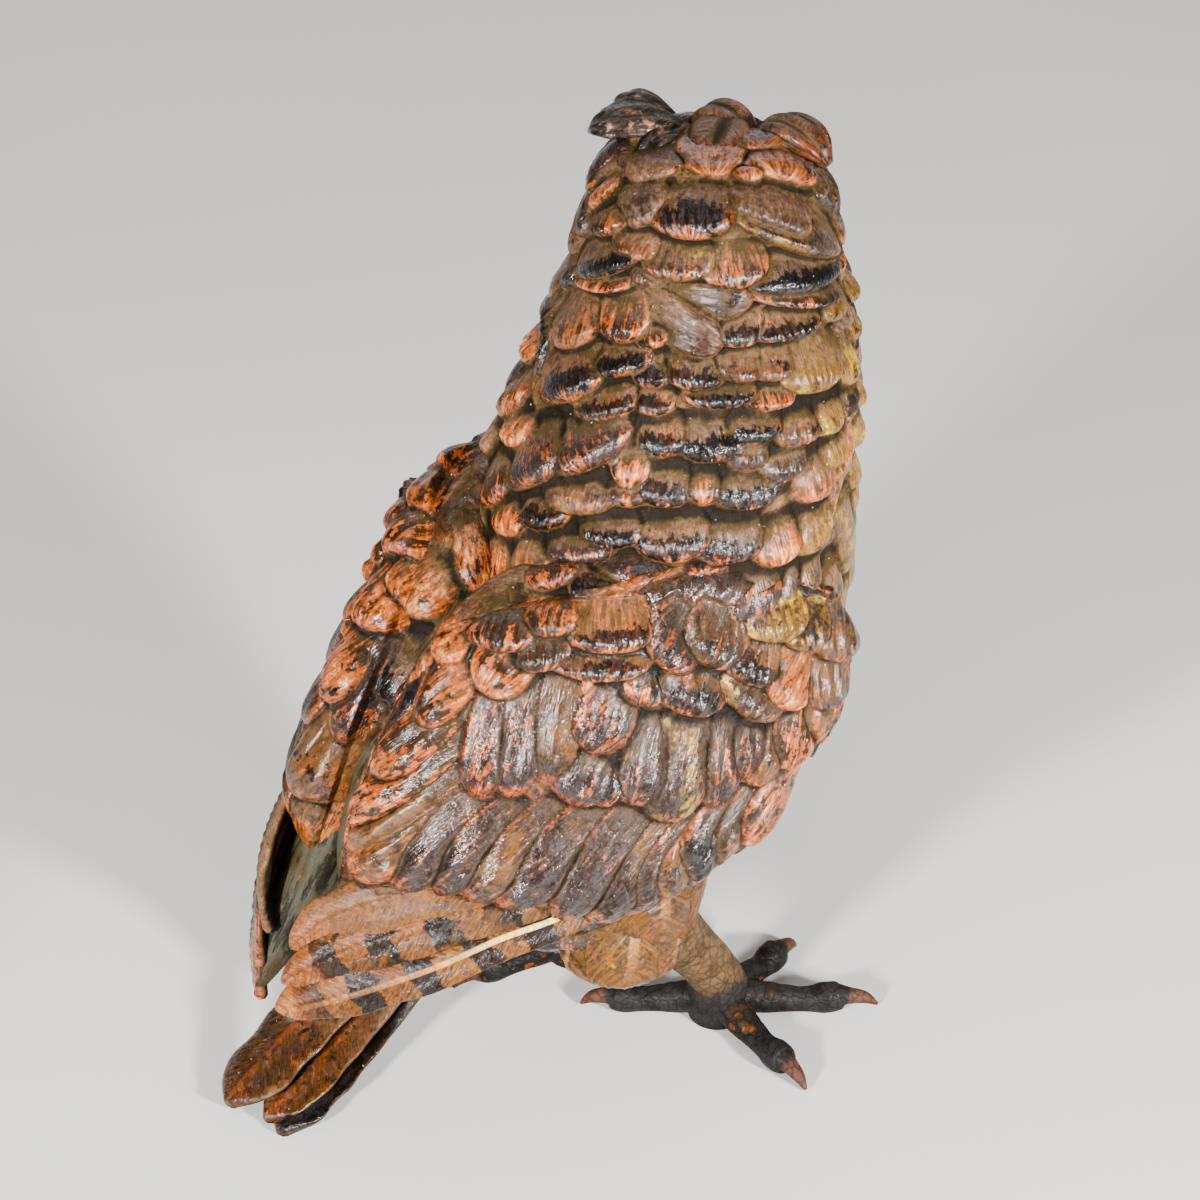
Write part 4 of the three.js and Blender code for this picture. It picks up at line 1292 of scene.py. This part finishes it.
def worn_coat(g, look, rims, russet, pale, ochre):
    """Brown and tan ground in patches, bare bronze whose grey cast is a painted sheen, orange strokes that
    follow the barbs, orange rims, and pale, golden and ochre places."""
    colour = g.blend(g.span(g.vary(g.patch, (g.seed, 0.3), (g.mottle, 0.5)), 0.4, 0.64), look.brown, look.tan)
    # Bare bronze where the paint is worn: it is made partly metallic, and its grey cast is a painted sheen
    bare = g.span(g.weigh((g.gloss, 0.3), (g.cloud, 0.5), (g.mottle, 0.5)), 0.62, 0.74)
    colour = g.blend(g.mul(bare, 0.95), colour, look.sheen)

    worn = g.weigh((g.streak, 0.5), (g.flake, 0.22), (g.mottle, 0.28))
    worn = g.vary(worn, (g.patch, 0.4), (g.lift, 0.16))
    worn = g.add(worn, g.mul(g.border, 0.05), g.mul(g.rub, 0.19))
    colour = g.blend(g.mul(g.span(worn, 0.645, 0.685), 0.92), colour, look.salmon)
    colour = g.blend(g.mul(g.span(worn, 0.73, 0.8), 0.8), colour, look.glow)
    rim = g.mul(g.border, g.span(g.vary(g.mottle, (g.cloud, 0.6)), 0.4, 0.5), rims)
    colour = g.blend(rim, colour, g.blend(g.span(g.flake, 0.45, 0.55), look.rust, look.salmon))
    if russet:
        amount = g.span(g.vary(g.mottle, (g.streak, 0.6)), 0.3, 0.6)
        colour = g.blend(g.mul(amount, russet), colour, look.rust)
    if pale:
        amount = g.span(g.vary(g.add(g.mottle, g.mul(g.patch, 0.4)), (g.streak, -0.5)), 0.4, 0.7)
        down = g.blend(g.span(g.vary(g.streak, (g.mottle, 0.8)), 0.44, 0.56), look.buff, look.brown)
        colour = g.blend(g.mul(amount, g.span(g.tip, 1.0, 0.3, 0.45, 1.0), pale), colour, down)

    gold = g.weigh((g.gold, 0.24), (g.cloud, 0.4), (g.flake, 0.3), (g.mottle, 0.3), (g.border, 0.06))
    colour = g.blend(g.mul(g.span(gold, 0.64, 0.72), 0.85), colour, look.ochre)
    if ochre:
        breast = g.mul(g.span(g.y, -0.05, -0.075), g.span(g.z, 0.2, 0.17))
        breast = g.mul(breast, g.span(g.add(g.mottle, g.patch), 0.75, 1.1, 0.4, 0.9))
        colour = g.blend(breast, colour, look.ochre)
    return colour, bare


def film_coat(g, look, colour, filmy):
    """Dull film over the upper half of a feather and over the dusty ones, thin where it is rubbed."""
    upper = g.span(g.vary(g.tip, (g.mottle, 0.5), (g.streak, 0.5)), 0.66, 0.42)
    upper = g.mul(upper, g.span(g.lift, 0.3, 0.6, 0.4, 0.8), 0.8)
    dusty = g.span(g.weigh((g.dust, 0.3), (g.mottle, 0.5), (g.patch, 0.5)), 0.6, 0.78)
    film = g.mul(g.most(upper, g.mul(dusty, 0.85)), filmy, g.span(g.rub, 0.4, 1.0, 1.0, 0.55))
    haze = g.blend(g.span(g.flake, 0.35, 0.65), look.dust, look.haze)
    return g.blend(film, colour, haze), film


def ragged_marks(g):
    """How far a ragged black mark above the tip, or a stray blot, covers a feather."""
    place = g.vary(g.tip, (g.mottle, 0.45), (g.cloud, 0.45), (g.streak, 0.35))
    narrow = g.span(g.vary(g.math("ABSOLUTE", g.side), (g.mottle, 1.3)), 0.98, 0.7)
    mark = g.mul(g.span(place, 0.5, 0.56), g.span(place, 0.95, 0.85), narrow)
    mark = g.mul(mark, g.span(g.weigh((g.mark, 0.32), (g.patch, 0.5), (g.mottle, 0.5)), 0.66, 0.72))
    blot = g.span(g.noise(g.object, 130, 4.0, 0.75), 0.6, 0.64)
    return g.most(mark, g.mul(blot, g.span(g.mark, 0.0, 0.5, 0.3, 0.9)))


def bars(g, barred):
    """How far dark bars across a long feather cover it: waves along it with ragged edges."""
    bent = g.add(g.vary(g.along, (g.cloud, 9.0)), g.mul(g.reach, 0.25))
    bent = g.vary(bent, (g.mottle, 5.0))
    wave = g.math("COSINE", g.mul(g.math("SUBTRACT", bent, 13.6), 2 * math.pi / BAR_PITCH))
    band = g.mul(g.span(g.vary(wave, (g.mottle, 1.6)), -0.1, 0.15), g.span(g.cloud, 0.34, 0.46, 0.35, 1.0))
    return g.mul(band, g.mark, g.span(g.tip, 0.97, 0.82, 0.35, 1.0), barred)


def mark_coat(g, look, colour, barred, shaft, ridge, dark_side, dark):
    """Black marks or bars, yellow spots, and where asked for a pale shaft, a rubbed ridge, one
    black side or a black cover."""
    mark = bars(g, barred) if barred else ragged_marks(g)
    colour = g.blend(g.mul(mark, 0.93), colour, look.black)
    spot = g.span(g.add(g.mul(g.gold, 0.3), g.noise(g.object, 75, 2.0, 0.5)), 0.82, 0.86)
    colour = g.blend(g.mul(spot, g.span(g.mottle, 0.42, 0.56), 0.85), colour, look.yellow)
    if shaft:
        line = g.span(g.reach, 0.95, 0.5)
        line = g.mul(line, g.span(g.vary(g.tip, (g.mottle, 0.3)), 0.85, 0.3, 0.15, 1.0), shaft)
        colour = g.blend(line, colour, g.blend(g.span(g.tip, 0.3, 0.6), look.cream, look.glow))
    if ridge:
        line = g.mul(g.span(g.vary(g.reach, (g.mottle, 1.6)), 1.3, 0.6), g.span(g.cloud, 0.4, 0.55), ridge)
        colour = g.blend(line, colour, look.salmon)
    if dark_side:
        half = g.mul(g.span(g.vary(g.side, (g.mottle, 0.3)), 0.12, -0.04), dark_side)
        colour = g.blend(half, colour, look.black)
    if dark:
        cover = g.mul(g.span(g.add(g.mottle, g.mul(g.cloud, 0.6)), 0.98, 0.86), dark)
        colour = g.blend(cover, colour, g.blend(g.span(g.streak, 0.4, 0.6), look.black, look.slate))
    return colour


def dirt_and_shade_coat(g, look, colour, dirt, tone):
    """Darker and lighter strokes, dusty olive dirt wherever the relief is low and at the root,
    near-black painted shade in the deepest places and a few pale specks."""
    shade = g.span(g.weigh((g.streak, 0.55), (g.fine, 0.45)), 0.36, 0.58, 0.45, 1.12)
    colour = g.shade(0.9, colour, g.mul(shade, g.span(g.grain, 0.3, 0.7, 0.8, 1.12), tone))
    low = g.span(g.vary(g.lift, (g.cloud, 0.6), (g.mottle, 0.5)), 0.56, 0.26)
    root = g.mul(g.span(g.vary(g.tip, (g.cloud, 0.7), (g.mottle, 0.4)), 0.3, 0.1), 0.85)
    dust = g.math("MINIMUM", g.mul(g.most(low, root), dirt), 0.93)
    soil = g.blend(g.span(g.vary(g.cloud, (g.flake, 0.6)), 0.42, 0.58), look.olive, look.dust)
    colour = g.blend(dust, colour, soil)
    # Painted shade: the deepest gaps between feathers are darkened towards near black
    shade_in_gaps = g.span(g.vary(g.lift, (g.mottle, 0.3)), 0.35, 0.11)
    colour = g.blend(g.mul(shade_in_gaps, 0.92), colour, look.soot_and_shade)
    speck = g.span(g.noise(g.object, 1100, 1.0, 0.5), 0.79, 0.81)
    return g.blend(g.mul(speck, 0.8), colour, look.cream), dust


def feather_paint(name, look, long_barbs=0.0, dirt=1.0, ochre=False, shaft=0.0, barred=0.0,
                  pale=0.0, dark_side=0.0, dark=0.0, rims=0.25, ridge=0.0, tone=1.0, filmy=1.0,
                  russet=0.0, varnish=1.0):
    """Aged paint over bronze in four coats: worn paint with a painted sheen, a dull film, dark marks,
    and dirt with painted shade.  Each feather's own finishes weight them, and varnish is how much
    of the gloss is left."""
    g = FeatherGraph(name, long_barbs)
    colour, bare = worn_coat(g, look, rims, russet, pale, ochre)
    colour, film = film_coat(g, look, colour, filmy)
    colour = mark_coat(g, look, colour, barred, shaft, ridge, dark_side, dark)
    colour, dust = dirt_and_shade_coat(g, look, colour, dirt, tone)

    dull = g.most(dust, g.mul(film, 0.7))
    rough = g.add(g.mul(dull, 0.5), g.span(g.vary(g.mottle, (g.flake, 0.5)), 0.35, 0.65, 0.16, 0.38))
    whole = g.span(g.vary(g.mottle, (g.flake, 0.8)), 0.4, 0.55, 0.15, 0.85)
    gloss = g.mul(g.span(dull, 0.6, 0.05), whole, varnish)
    metal = g.mul(bare, 0.6, g.math("SUBTRACT", 1.0, dull))
    height = g.weigh((g.streak, 0.5), (g.fine, 0.25), (g.mottle, 0.36), (g.grain, 0.09), (g.flake, 0.18))
    return g.finish(colour, rough, metal, height, 0.0009, coat=gloss, coat_rough=0.1)


def web_paint(name, look):
    """Dusty grey green film on the web between the wings, over dark streaks that run along it, with painted
    shade in the low places between its ridges.
    """
    g = Graph(name)
    lift = g.attribute("lift")
    x, y, z = g.parts(g.object)
    patch, mottle, grain = g.noise(g.object, 90), g.noise(g.object, 380, 4.0, 0.7), g.noise(g.object, 1500)
    run = g.noise(g.vector(g.mul(x, 5), y, g.mul(z, 0.6)), 110, 4.0)
    film = g.span(g.add(patch, g.mul(mottle, 0.4)), 0.58, 0.82)
    colour = g.blend(film, look.olive, look.verdigris)
    colour = g.blend(g.mul(g.span(run, 0.5, 0.4), 0.8), colour, look.soot_and_shade)
    colour = g.blend(g.mul(g.span(mottle, 0.62, 0.7), 0.6), colour, look.salmon)
    # Painted shade: the low places between the web's ridges are darkened towards near black
    colour = g.blend(g.mul(g.span(lift, 0.3, 0.05), 0.6), colour, look.soot_and_shade)
    height = g.weigh((run, 0.5), (mottle, 0.4), (grain, 0.15))
    return g.finish(colour, g.span(mottle, 0.3, 0.7, 0.45, 0.75), 0.0, height, 0.0012, coat=0.05)


def scale_paint(name, look):
    """Feet: dark grey skin with rubbed orange spots, dusty brown on the leg and horn claws."""
    g = Graph(name)
    tip, z = g.attribute("tip"), g.parts(g.object)[2]
    patch, mottle, grain = g.noise(g.object, 110), g.noise(g.object, 420, 4.0, 0.65), g.noise(g.object, 1600)
    cells = g.node("ShaderNodeTexVoronoi", feature="DISTANCE_TO_EDGE")
    g.put(cells.inputs["Vector"], g.object)
    g.put(cells.inputs["Scale"], 330)
    crack = g.span(cells.outputs["Distance"], 0.0, 0.16)
    colour = g.blend(g.span(patch, 0.42, 0.6), look.slate, look.soot_and_shade)
    leg = g.span(g.vary(z, (patch, 0.03)), 0.008, 0.02)
    colour = g.blend(leg, colour, look.dust)
    colour = g.blend(g.mul(leg, g.span(patch, 0.45, 0.6), 0.8), colour, look.olive)
    worn = g.span(g.add(patch, g.mul(mottle, 0.6)), 0.91, 1.02)
    colour = g.blend(g.mul(worn, 0.6), colour, look.salmon)
    colour = g.blend(g.mul(g.span(mottle, 0.56, 0.66), 0.45), colour, look.brown)
    nail = g.mul(g.span(tip, 0.78, 0.84), g.span(z, 0.016, 0.012))
    colour = g.blend(g.mul(nail, 0.8), colour, look.horn)
    grey = g.add(g.mul(crack, g.span(grain, 0.3, 0.7, 0.75, 1.15), 0.6), 0.4)
    colour = g.shade(0.8, colour, grey)
    height = g.weigh((crack, 0.16), (mottle, 0.5), (grain, 0.15))
    return g.finish(colour, g.span(mottle, 0.3, 0.7, 0.5, 0.8), 0.0, height, 0.0008, coat=0.06)


def eye_paint(name, look):
    """Glossy eye: a black pupil, an amber ring that is darker at its rim, and a black edge."""
    g = Graph(name)
    tip = g.attribute("tip")
    ray = g.noise(g.object, 900)
    colour = g.blend(g.span(tip, 0.5, 0.9), look.amber, look.brown)
    colour = g.blend(g.span(ray, 0.4, 0.7, 0.0, 0.3), colour, look.yellow)
    colour = g.blend(g.span(tip, 0.5, 0.46), colour, look.black)
    colour = g.blend(g.span(tip, 0.9, 0.95), colour, look.black)
    return g.finish(colour, g.span(ray, 0.3, 0.7, 0.12, 0.2), 0.0, ray, 0.0002, 0.6, 0.08)


def beak_paint(name, look):
    """Beak of dark horn with rubbed brown along its ridge."""
    g = Graph(name)
    mottle, grain = g.noise(g.object, 380, 4.0), g.noise(g.object, 1500)
    colour = g.blend(g.span(mottle, 0.4, 0.7), look.black, look.slate)
    colour = g.blend(g.mul(g.span(mottle, 0.58, 0.66), 0.7), colour, look.horn)
    height = g.weigh((mottle, 0.6), (grain, 0.2))
    return g.finish(colour, g.span(mottle, 0.3, 0.7, 0.25, 0.42), 0.1, height, 0.0006)


def floor_paint(name, shade):
    """Pale matt floor with the least unevenness in tone."""
    g = Graph(name)
    cloud = g.noise(g.object, 3, 2.0, 0.5)
    darker = tuple(0.96 * channel for channel in tuple(shade)[:3])
    return g.finish(g.blend(g.span(cloud, 0.3, 0.7), shade, darker), 0.7, 0.0, cloud, 0.0005, 0.0)


# Settings


def linear(*rgb):
    """A display colour from 0 to 255 as the linear numbers that Blender stores."""
    c = np.array(rgb) / 255
    return tuple(float(v) for v in np.where(c <= 0.04045, c / 12.92, ((c + 0.055) / 1.055) ** 2.4))


def paint_slot(label, words, rgb):
    """Setting for a colour."""
    return bpy.props.FloatVectorProperty(
        name=label, description=words, subtype="COLOR", min=0, max=1, default=linear(*rgb))


def number_slot(label, words, default, low, high, unit="NONE"):
    """Setting for a number."""
    return bpy.props.FloatProperty(
        name=label, description=words, default=default, min=low, max=high, unit=unit)


def angle_slot(label, words, default):
    """Setting for an angle."""
    return bpy.props.FloatProperty(
        name=label, description=words, default=default, subtype="ANGLE", unit="ROTATION")


class OwlPaint(bpy.types.PropertyGroup):
    """Colours of the aged paint."""

    brown: paint_slot("Brown", "Dark ground between the worn places", (38, 22, 9))
    tan: paint_slot("Tan", "Lighter ground of the feathers", (92, 56, 22))
    salmon: paint_slot("Salmon", "Rubbed paint on edges and high places", (150, 68, 16))
    rust: paint_slot("Rust", "Red orange line at the lip of a feather", (92, 30, 5))
    glow: paint_slot("Bright rub", "Brightest rubbed places", (198, 132, 74))
    # Bare bronze, with its grey cast painted in as a sheen
    sheen: paint_slot("Mauve", "Bare glossy bronze with a grey mauve cast", (50, 39, 36))
    black: paint_slot("Black", "Painted marks near the feather tips", (3, 3, 3))
    olive: paint_slot("Olive dirt", "Dirt in the low places", (56, 42, 18))
    dust: paint_slot("Dust", "Dry grey brown film", (92, 68, 43))
    haze: paint_slot("Haze", "Dull pinkish film on the upper half of a feather", (130, 97, 76))
    # Near black for dark patches on the feet and streaks on the web, and for painted shade in the deepest
    # gaps and the web's low places
    soot_and_shade: paint_slot("Soot", "Deepest gaps between feathers", (7, 5, 2))
    yellow: paint_slot("Yellow", "Stray yellow spots", (165, 131, 23))
    ochre: paint_slot("Ochre", "Yellow brown of the breast", (115, 78, 8))
    buff: paint_slot("Buff", "Pale down of thighs and belly", (140, 82, 8))
    cream: paint_slot("Cream", "Feather shafts", (236, 200, 130))
    verdigris: paint_slot("Verdigris", "Grey green film between the wings", (64, 61, 46))
    slate: paint_slot("Slate", "Skin of the feet", (30, 27, 26))
    horn: paint_slot("Horn", "Claws", (83, 51, 37))
    amber: paint_slot("Amber", "Ring of the eye", (210, 140, 26))


class OwlForm(bpy.types.PropertyGroup):
    """Sizes of the casting."""

    body_relief: number_slot("Body relief", "How far the body feathers stand out", 0.0046, 0, 0.01, "LENGTH")
    wing_relief: number_slot("Wing relief", "Factor on the relief of the wing coverts", 1.0, 0, 2)
    quill: number_slot(
        "Quill thickness", "Half the thickness of a flight feather", 0.0018, 0.0005, 0.004, "LENGTH")
    tail: number_slot(
        "Tail thickness", "Half the thickness of a tail feather", 0.0022, 0.0005, 0.004, "LENGTH")


class OwlStage(bpy.types.PropertyGroup):
    """Floor, light and camera."""

    floor: paint_slot("Floor", "Colour of the floor", (212, 210, 206))
    azimuth: angle_slot("Azimuth", "Turn of the camera about the owl", AZIMUTH)
    elevation: angle_slot("Elevation", "Height angle of the camera", ELEVATION)
    distance: number_slot("Distance", "From the camera to the origin", DISTANCE / MILLI, 0.3, 5, "LENGTH")
    lens: number_slot("Lens", "Focal length", FOCAL / FRAME_PIXELS * SENSOR, 20, 300, "CAMERA")
    key: number_slot("Key light", "Power of the two soft lights beside the camera", 41.0, 0, 200, "POWER")
    fill: number_slot("Fill light", "Power of the wide lights above and in front", 8.0, 0, 200, "POWER")


# Operators


class OWL_OT_trunk(bpy.types.Operator):
    """Head, neck, mantle, breast and belly in one skin"""

    bl_idname = "owl.trunk"
    bl_label = "Trunk"

    def execute(self, context):
        look = context.scene.owl_paint
        relief = context.scene.owl_form.body_relief * MILLI
        body = feather_paint("Mantle paint", look, ochre=True, filmy=0.75, tone=1.35)
        head = feather_paint("Head paint", look, ochre=True, tone=0.82)
        whole, out, _, _, length = trunk_grid(0, FAR, 460, 460)
        found = seats(whole, out, HEAD_LAY + MANTLE_LAY)
        put("head", [trunk_shell(relief, 0, HEAD_END, 190, 480, found)], head)
        put("body", [trunk_shell(relief, HEAD_END, length, 235, 420, found)], body)
        return {"FINISHED"}


class OWL_OT_wings(bpy.types.Operator):
    """Both wings with their rows of coverts"""

    bl_idname = "owl.wings"
    bl_label = "Wings"

    def execute(self, context):
        look = context.scene.owl_paint
        factor = context.scene.owl_form.wing_relief
        paint = feather_paint(
            "Covert paint", look, long_barbs=0.15, dirt=0.4, rims=0.75, filmy=0.15, tone=1.15)
        put("right_wing", [wing_shell(-1, factor)], paint)
        put("left_wing", [wing_shell(1, factor)], paint)
        return {"FINISHED"}


class OWL_OT_flight(bpy.types.Operator):
    """Folded flight feathers of both wings"""

    bl_idname = "owl.flight"
    bl_label = "Flight feathers"

    def quills(self, side, thickness):
        """The three long feathers of one wing, pressed in on the right and tucked in on the left."""
        shells = []
        for number, ((half, line, press), marks) in enumerate(zip(QUILLS, QUILL_MARKS)):
            face = np.array(QUILL_FACE)
            if side > 0:
                line, face = tuck(line), face * MIRROR
            else:
                line = np.array(line) - PRESS_WAY * np.array(press)[:, None]
            place = 0.0 if number else side * PRIMARY_SHAFT
            seed = 0.3 + 0.2 * number
            shells.append(feather_shell(half, line, QUILL_OUTLINE, face, thickness, seed, marks, place))
        return shells

    def execute(self, context):
        look = context.scene.owl_paint
        thickness = context.scene.owl_form.quill * MILLI
        fans = web_paint("Folded feather paint", look)
        barred = {"long_barbs": 1.0, "barred": 1.0, "varnish": 0.5}
        primary = feather_paint("Primary paint", look, dirt=0.4, shaft=1.0, pale=0.95, filmy=0.05, **barred)
        secondary = feather_paint("Secondary paint", look, dirt=0.6, pale=0.85, filmy=0.3, tone=0.9, **barred)
        left = feather_paint("Left flight paint", look, long_barbs=1.0, dirt=0.8, rims=0.8)
        for side, word, first, others in ((-1, "right", primary, secondary), (1, "left", left, left)):
            put(f"{word}_fan", [fan_shell(side)], fans)
            shells = self.quills(side, thickness)
            put(f"{word}_primary", shells[:1], first)
            put(f"{word}_secondaries", shells[1:], others)
        return {"FINISHED"}


class OWL_OT_tail(bpy.types.Operator):
    """Tail feathers and the rump above them"""

    bl_idname = "owl.tail"
    bl_label = "Tail"

    def execute(self, context):
        look = context.scene.owl_paint
        thickness = context.scene.owl_form.tail * MILLI
        worn = {"long_barbs": 1.0, "tone": 0.6}
        paint = feather_paint("Tail paint", look, dirt=0.9, ridge=0.6, filmy=0.7, pale=0.55, **worn)
        dark = feather_paint("Dark tail paint", look, dirt=0.8, dark_side=0.95, filmy=0.6, **worn)
        shells = [
            feather_shell(half, line, TAIL_OUTLINE, TAIL_FACE, thickness, 0.2 + 0.17 * number, marks)
            for number, ((half, line), marks) in enumerate(zip(TAIL, TAIL_MARKS))
        ]
        put("tail_top", shells[:2], paint)
        put("tail_side", shells[2:], dark)
        put("rump", [rump_shell(), undertail_shell()], feather_paint("Rump paint", look, long_barbs=0.5))
        seam = feather_paint("Scapular paint", look, dirt=0.9)
        put("scapulars", [scapular_shell(-1), scapular_shell(1)], seam)
        put("web", [web_shell()], web_paint("Web paint", look))
        return {"FINISHED"}


class OWL_OT_legs(bpy.types.Operator):
    """Feathered thighs, bare legs, toes and claws"""

    bl_idname = "owl.legs"
    bl_label = "Legs"

    def execute(self, context):
        look = context.scene.owl_paint
        down = feather_paint("Thigh paint", look, long_barbs=0.7, dirt=0.8, pale=0.95, shaft=0.6,
                             filmy=0.15, tone=0.9, varnish=0.5)
        put("thighs", [thigh_shell(-22, 20, -3, 9, 110), thigh_shell(22, 20, 3, 9, 130)], down)
        shells = foot_shells(RIGHT_FOOT, (-23, 16, 52), 0.2) + foot_shells(LEFT_FOOT, (23, 20, 52), 0.6)
        put("feet", shells, scale_paint("Foot paint", look))
        return {"FINISHED"}


class OWL_OT_face(bpy.types.Operator):
    """Facial discs, eyes, beak, brows and ear tufts"""

    bl_idname = "owl.face"
    bl_label = "Face"

    def execute(self, context):
        look = context.scene.owl_paint
        disc = feather_paint("Disc paint", look, dirt=0.5, pale=0.5)
        tuft = feather_paint("Tuft paint", look, long_barbs=0.6, dirt=0.8, tone=0.55, russet=0.75)
        dark = feather_paint("Dark tuft paint", look, long_barbs=0.6, dirt=0.2, dark=0.95)
        both = [face_axes(side) for side in (-1, 1)]
        put("discs", [disc_shell(axes) for axes in both], disc)
        put("eyes", [eye_shell(axes) for axes in both], eye_paint("Eye paint", look))
        put("beak", [beak_shell()], beak_paint("Beak paint", look))
        put("brows", brow_shells(), tuft)
        put("right_tuft", leaf_shells(RIGHT_TUFT, 0.2), tuft)
        put("left_tuft", leaf_shells(LEFT_TUFT, 0.6), dark)
        put("crown_leaves", leaf_shells(CROWN_LEAVES, 0.35, flat=0.42, ridges=5), tuft)
        return {"FINISHED"}


class OWL_OT_stage(bpy.types.Operator):
    """Pale floor, soft studio light and the camera"""

    bl_idname = "owl.stage"
    bl_label = "Stage"

    def add(self, context, name, data):
        """Puts an object with its data in the scene."""
        made = bpy.data.objects.new(name, data)
        context.scene.collection.objects.link(made)
        return made

    def execute(self, context):
        stage = context.scene.owl_stage
        mesh = bpy.data.meshes.new("floor")
        corners = [(x * FLOOR_HALF, y * FLOOR_HALF, 0) for x, y in ((-1, -1), (1, -1), (1, 1), (-1, 1))]
        mesh.from_pydata(corners, [], [(0, 1, 2, 3)])
        mesh.materials.append(floor_paint("Floor paint", stage.floor))
        self.add(context, "floor", mesh)

        world = bpy.data.worlds.new("Studio")
        world.use_nodes = True
        for socket, value in zip(world.node_tree.nodes["Background"].inputs, (WORLD_COLOUR, WORLD_STRENGTH)):
            socket.default_value = value
        context.scene.world = world

        right, up, back = camera_axes(stage.azimuth, stage.elevation)
        focal = stage.lens / SENSOR * FRAME_PIXELS
        aside, down = ((pixel - FRAME_PIXELS / 2) / focal for pixel in ORIGIN_PIXEL)
        place = (back - (right * aside - up * down)) * stage.distance - ORIGIN / MILLI
        data = bpy.data.cameras.new("Camera")
        data.lens = stage.lens
        data.sensor_width = SENSOR
        data.clip_start = 0.05
        camera = self.add(context, "Camera", data)
        turned = np.column_stack([right, up, back, place])
        camera.matrix_world = Matrix([*turned, (0, 0, 0, 1)])
        context.scene.camera = camera

        aim = np.array([0, 0, 0.12])
        for name, power, part, width, turn, height, reach in LIGHTS:
            flat = math.cos(height) * reach
            way = stage.azimuth + turn
            spot = np.array([math.sin(way) * flat, -math.cos(way) * flat, aim[2] + math.sin(height) * reach])
            light = bpy.data.lights.new(name, "AREA")
            light.energy = getattr(stage, power) * part
            light.size = width
            lamp = self.add(context, name, light)
            lamp.location = spot
            lamp.rotation_euler = Vector(aim - spot).to_track_quat("-Z", "Y").to_euler()
        return {"FINISHED"}


PIECES = (OWL_OT_trunk, OWL_OT_wings, OWL_OT_flight, OWL_OT_tail, OWL_OT_legs, OWL_OT_face, OWL_OT_stage)


class OWL_PT_panel(bpy.types.Panel):
    """Lists the pieces and the settings"""

    bl_idname = "OWL_PT_panel"
    bl_label = "Painted Bronze Owl"
    bl_space_type = "VIEW_3D"
    bl_region_type = "UI"
    bl_category = "Owl"

    def draw(self, context):
        layout = self.layout
        for piece in PIECES:
            layout.operator(piece.bl_idname)
        for group in (context.scene.owl_form, context.scene.owl_paint, context.scene.owl_stage):
            box = layout.box()
            for key in group.bl_rna.properties.keys():
                if key not in {"rna_type", "name"}:
                    box.prop(group, key)


CLASSES = (OwlPaint, OwlForm, OwlStage, *PIECES, OWL_PT_panel)


def register():
    for item in CLASSES:
        bpy.utils.register_class(item)
    bpy.types.Scene.owl_paint = bpy.props.PointerProperty(type=OwlPaint)
    bpy.types.Scene.owl_form = bpy.props.PointerProperty(type=OwlForm)
    bpy.types.Scene.owl_stage = bpy.props.PointerProperty(type=OwlStage)


def unregister():
    del bpy.types.Scene.owl_stage
    del bpy.types.Scene.owl_form
    del bpy.types.Scene.owl_paint
    for item in reversed(CLASSES):
        bpy.utils.unregister_class(item)


def main():
    register()
    for piece in PIECES:
        group, name = piece.bl_idname.split(".")
        getattr(getattr(bpy.ops, group), name)()


if __name__ == "__main__":
    main()
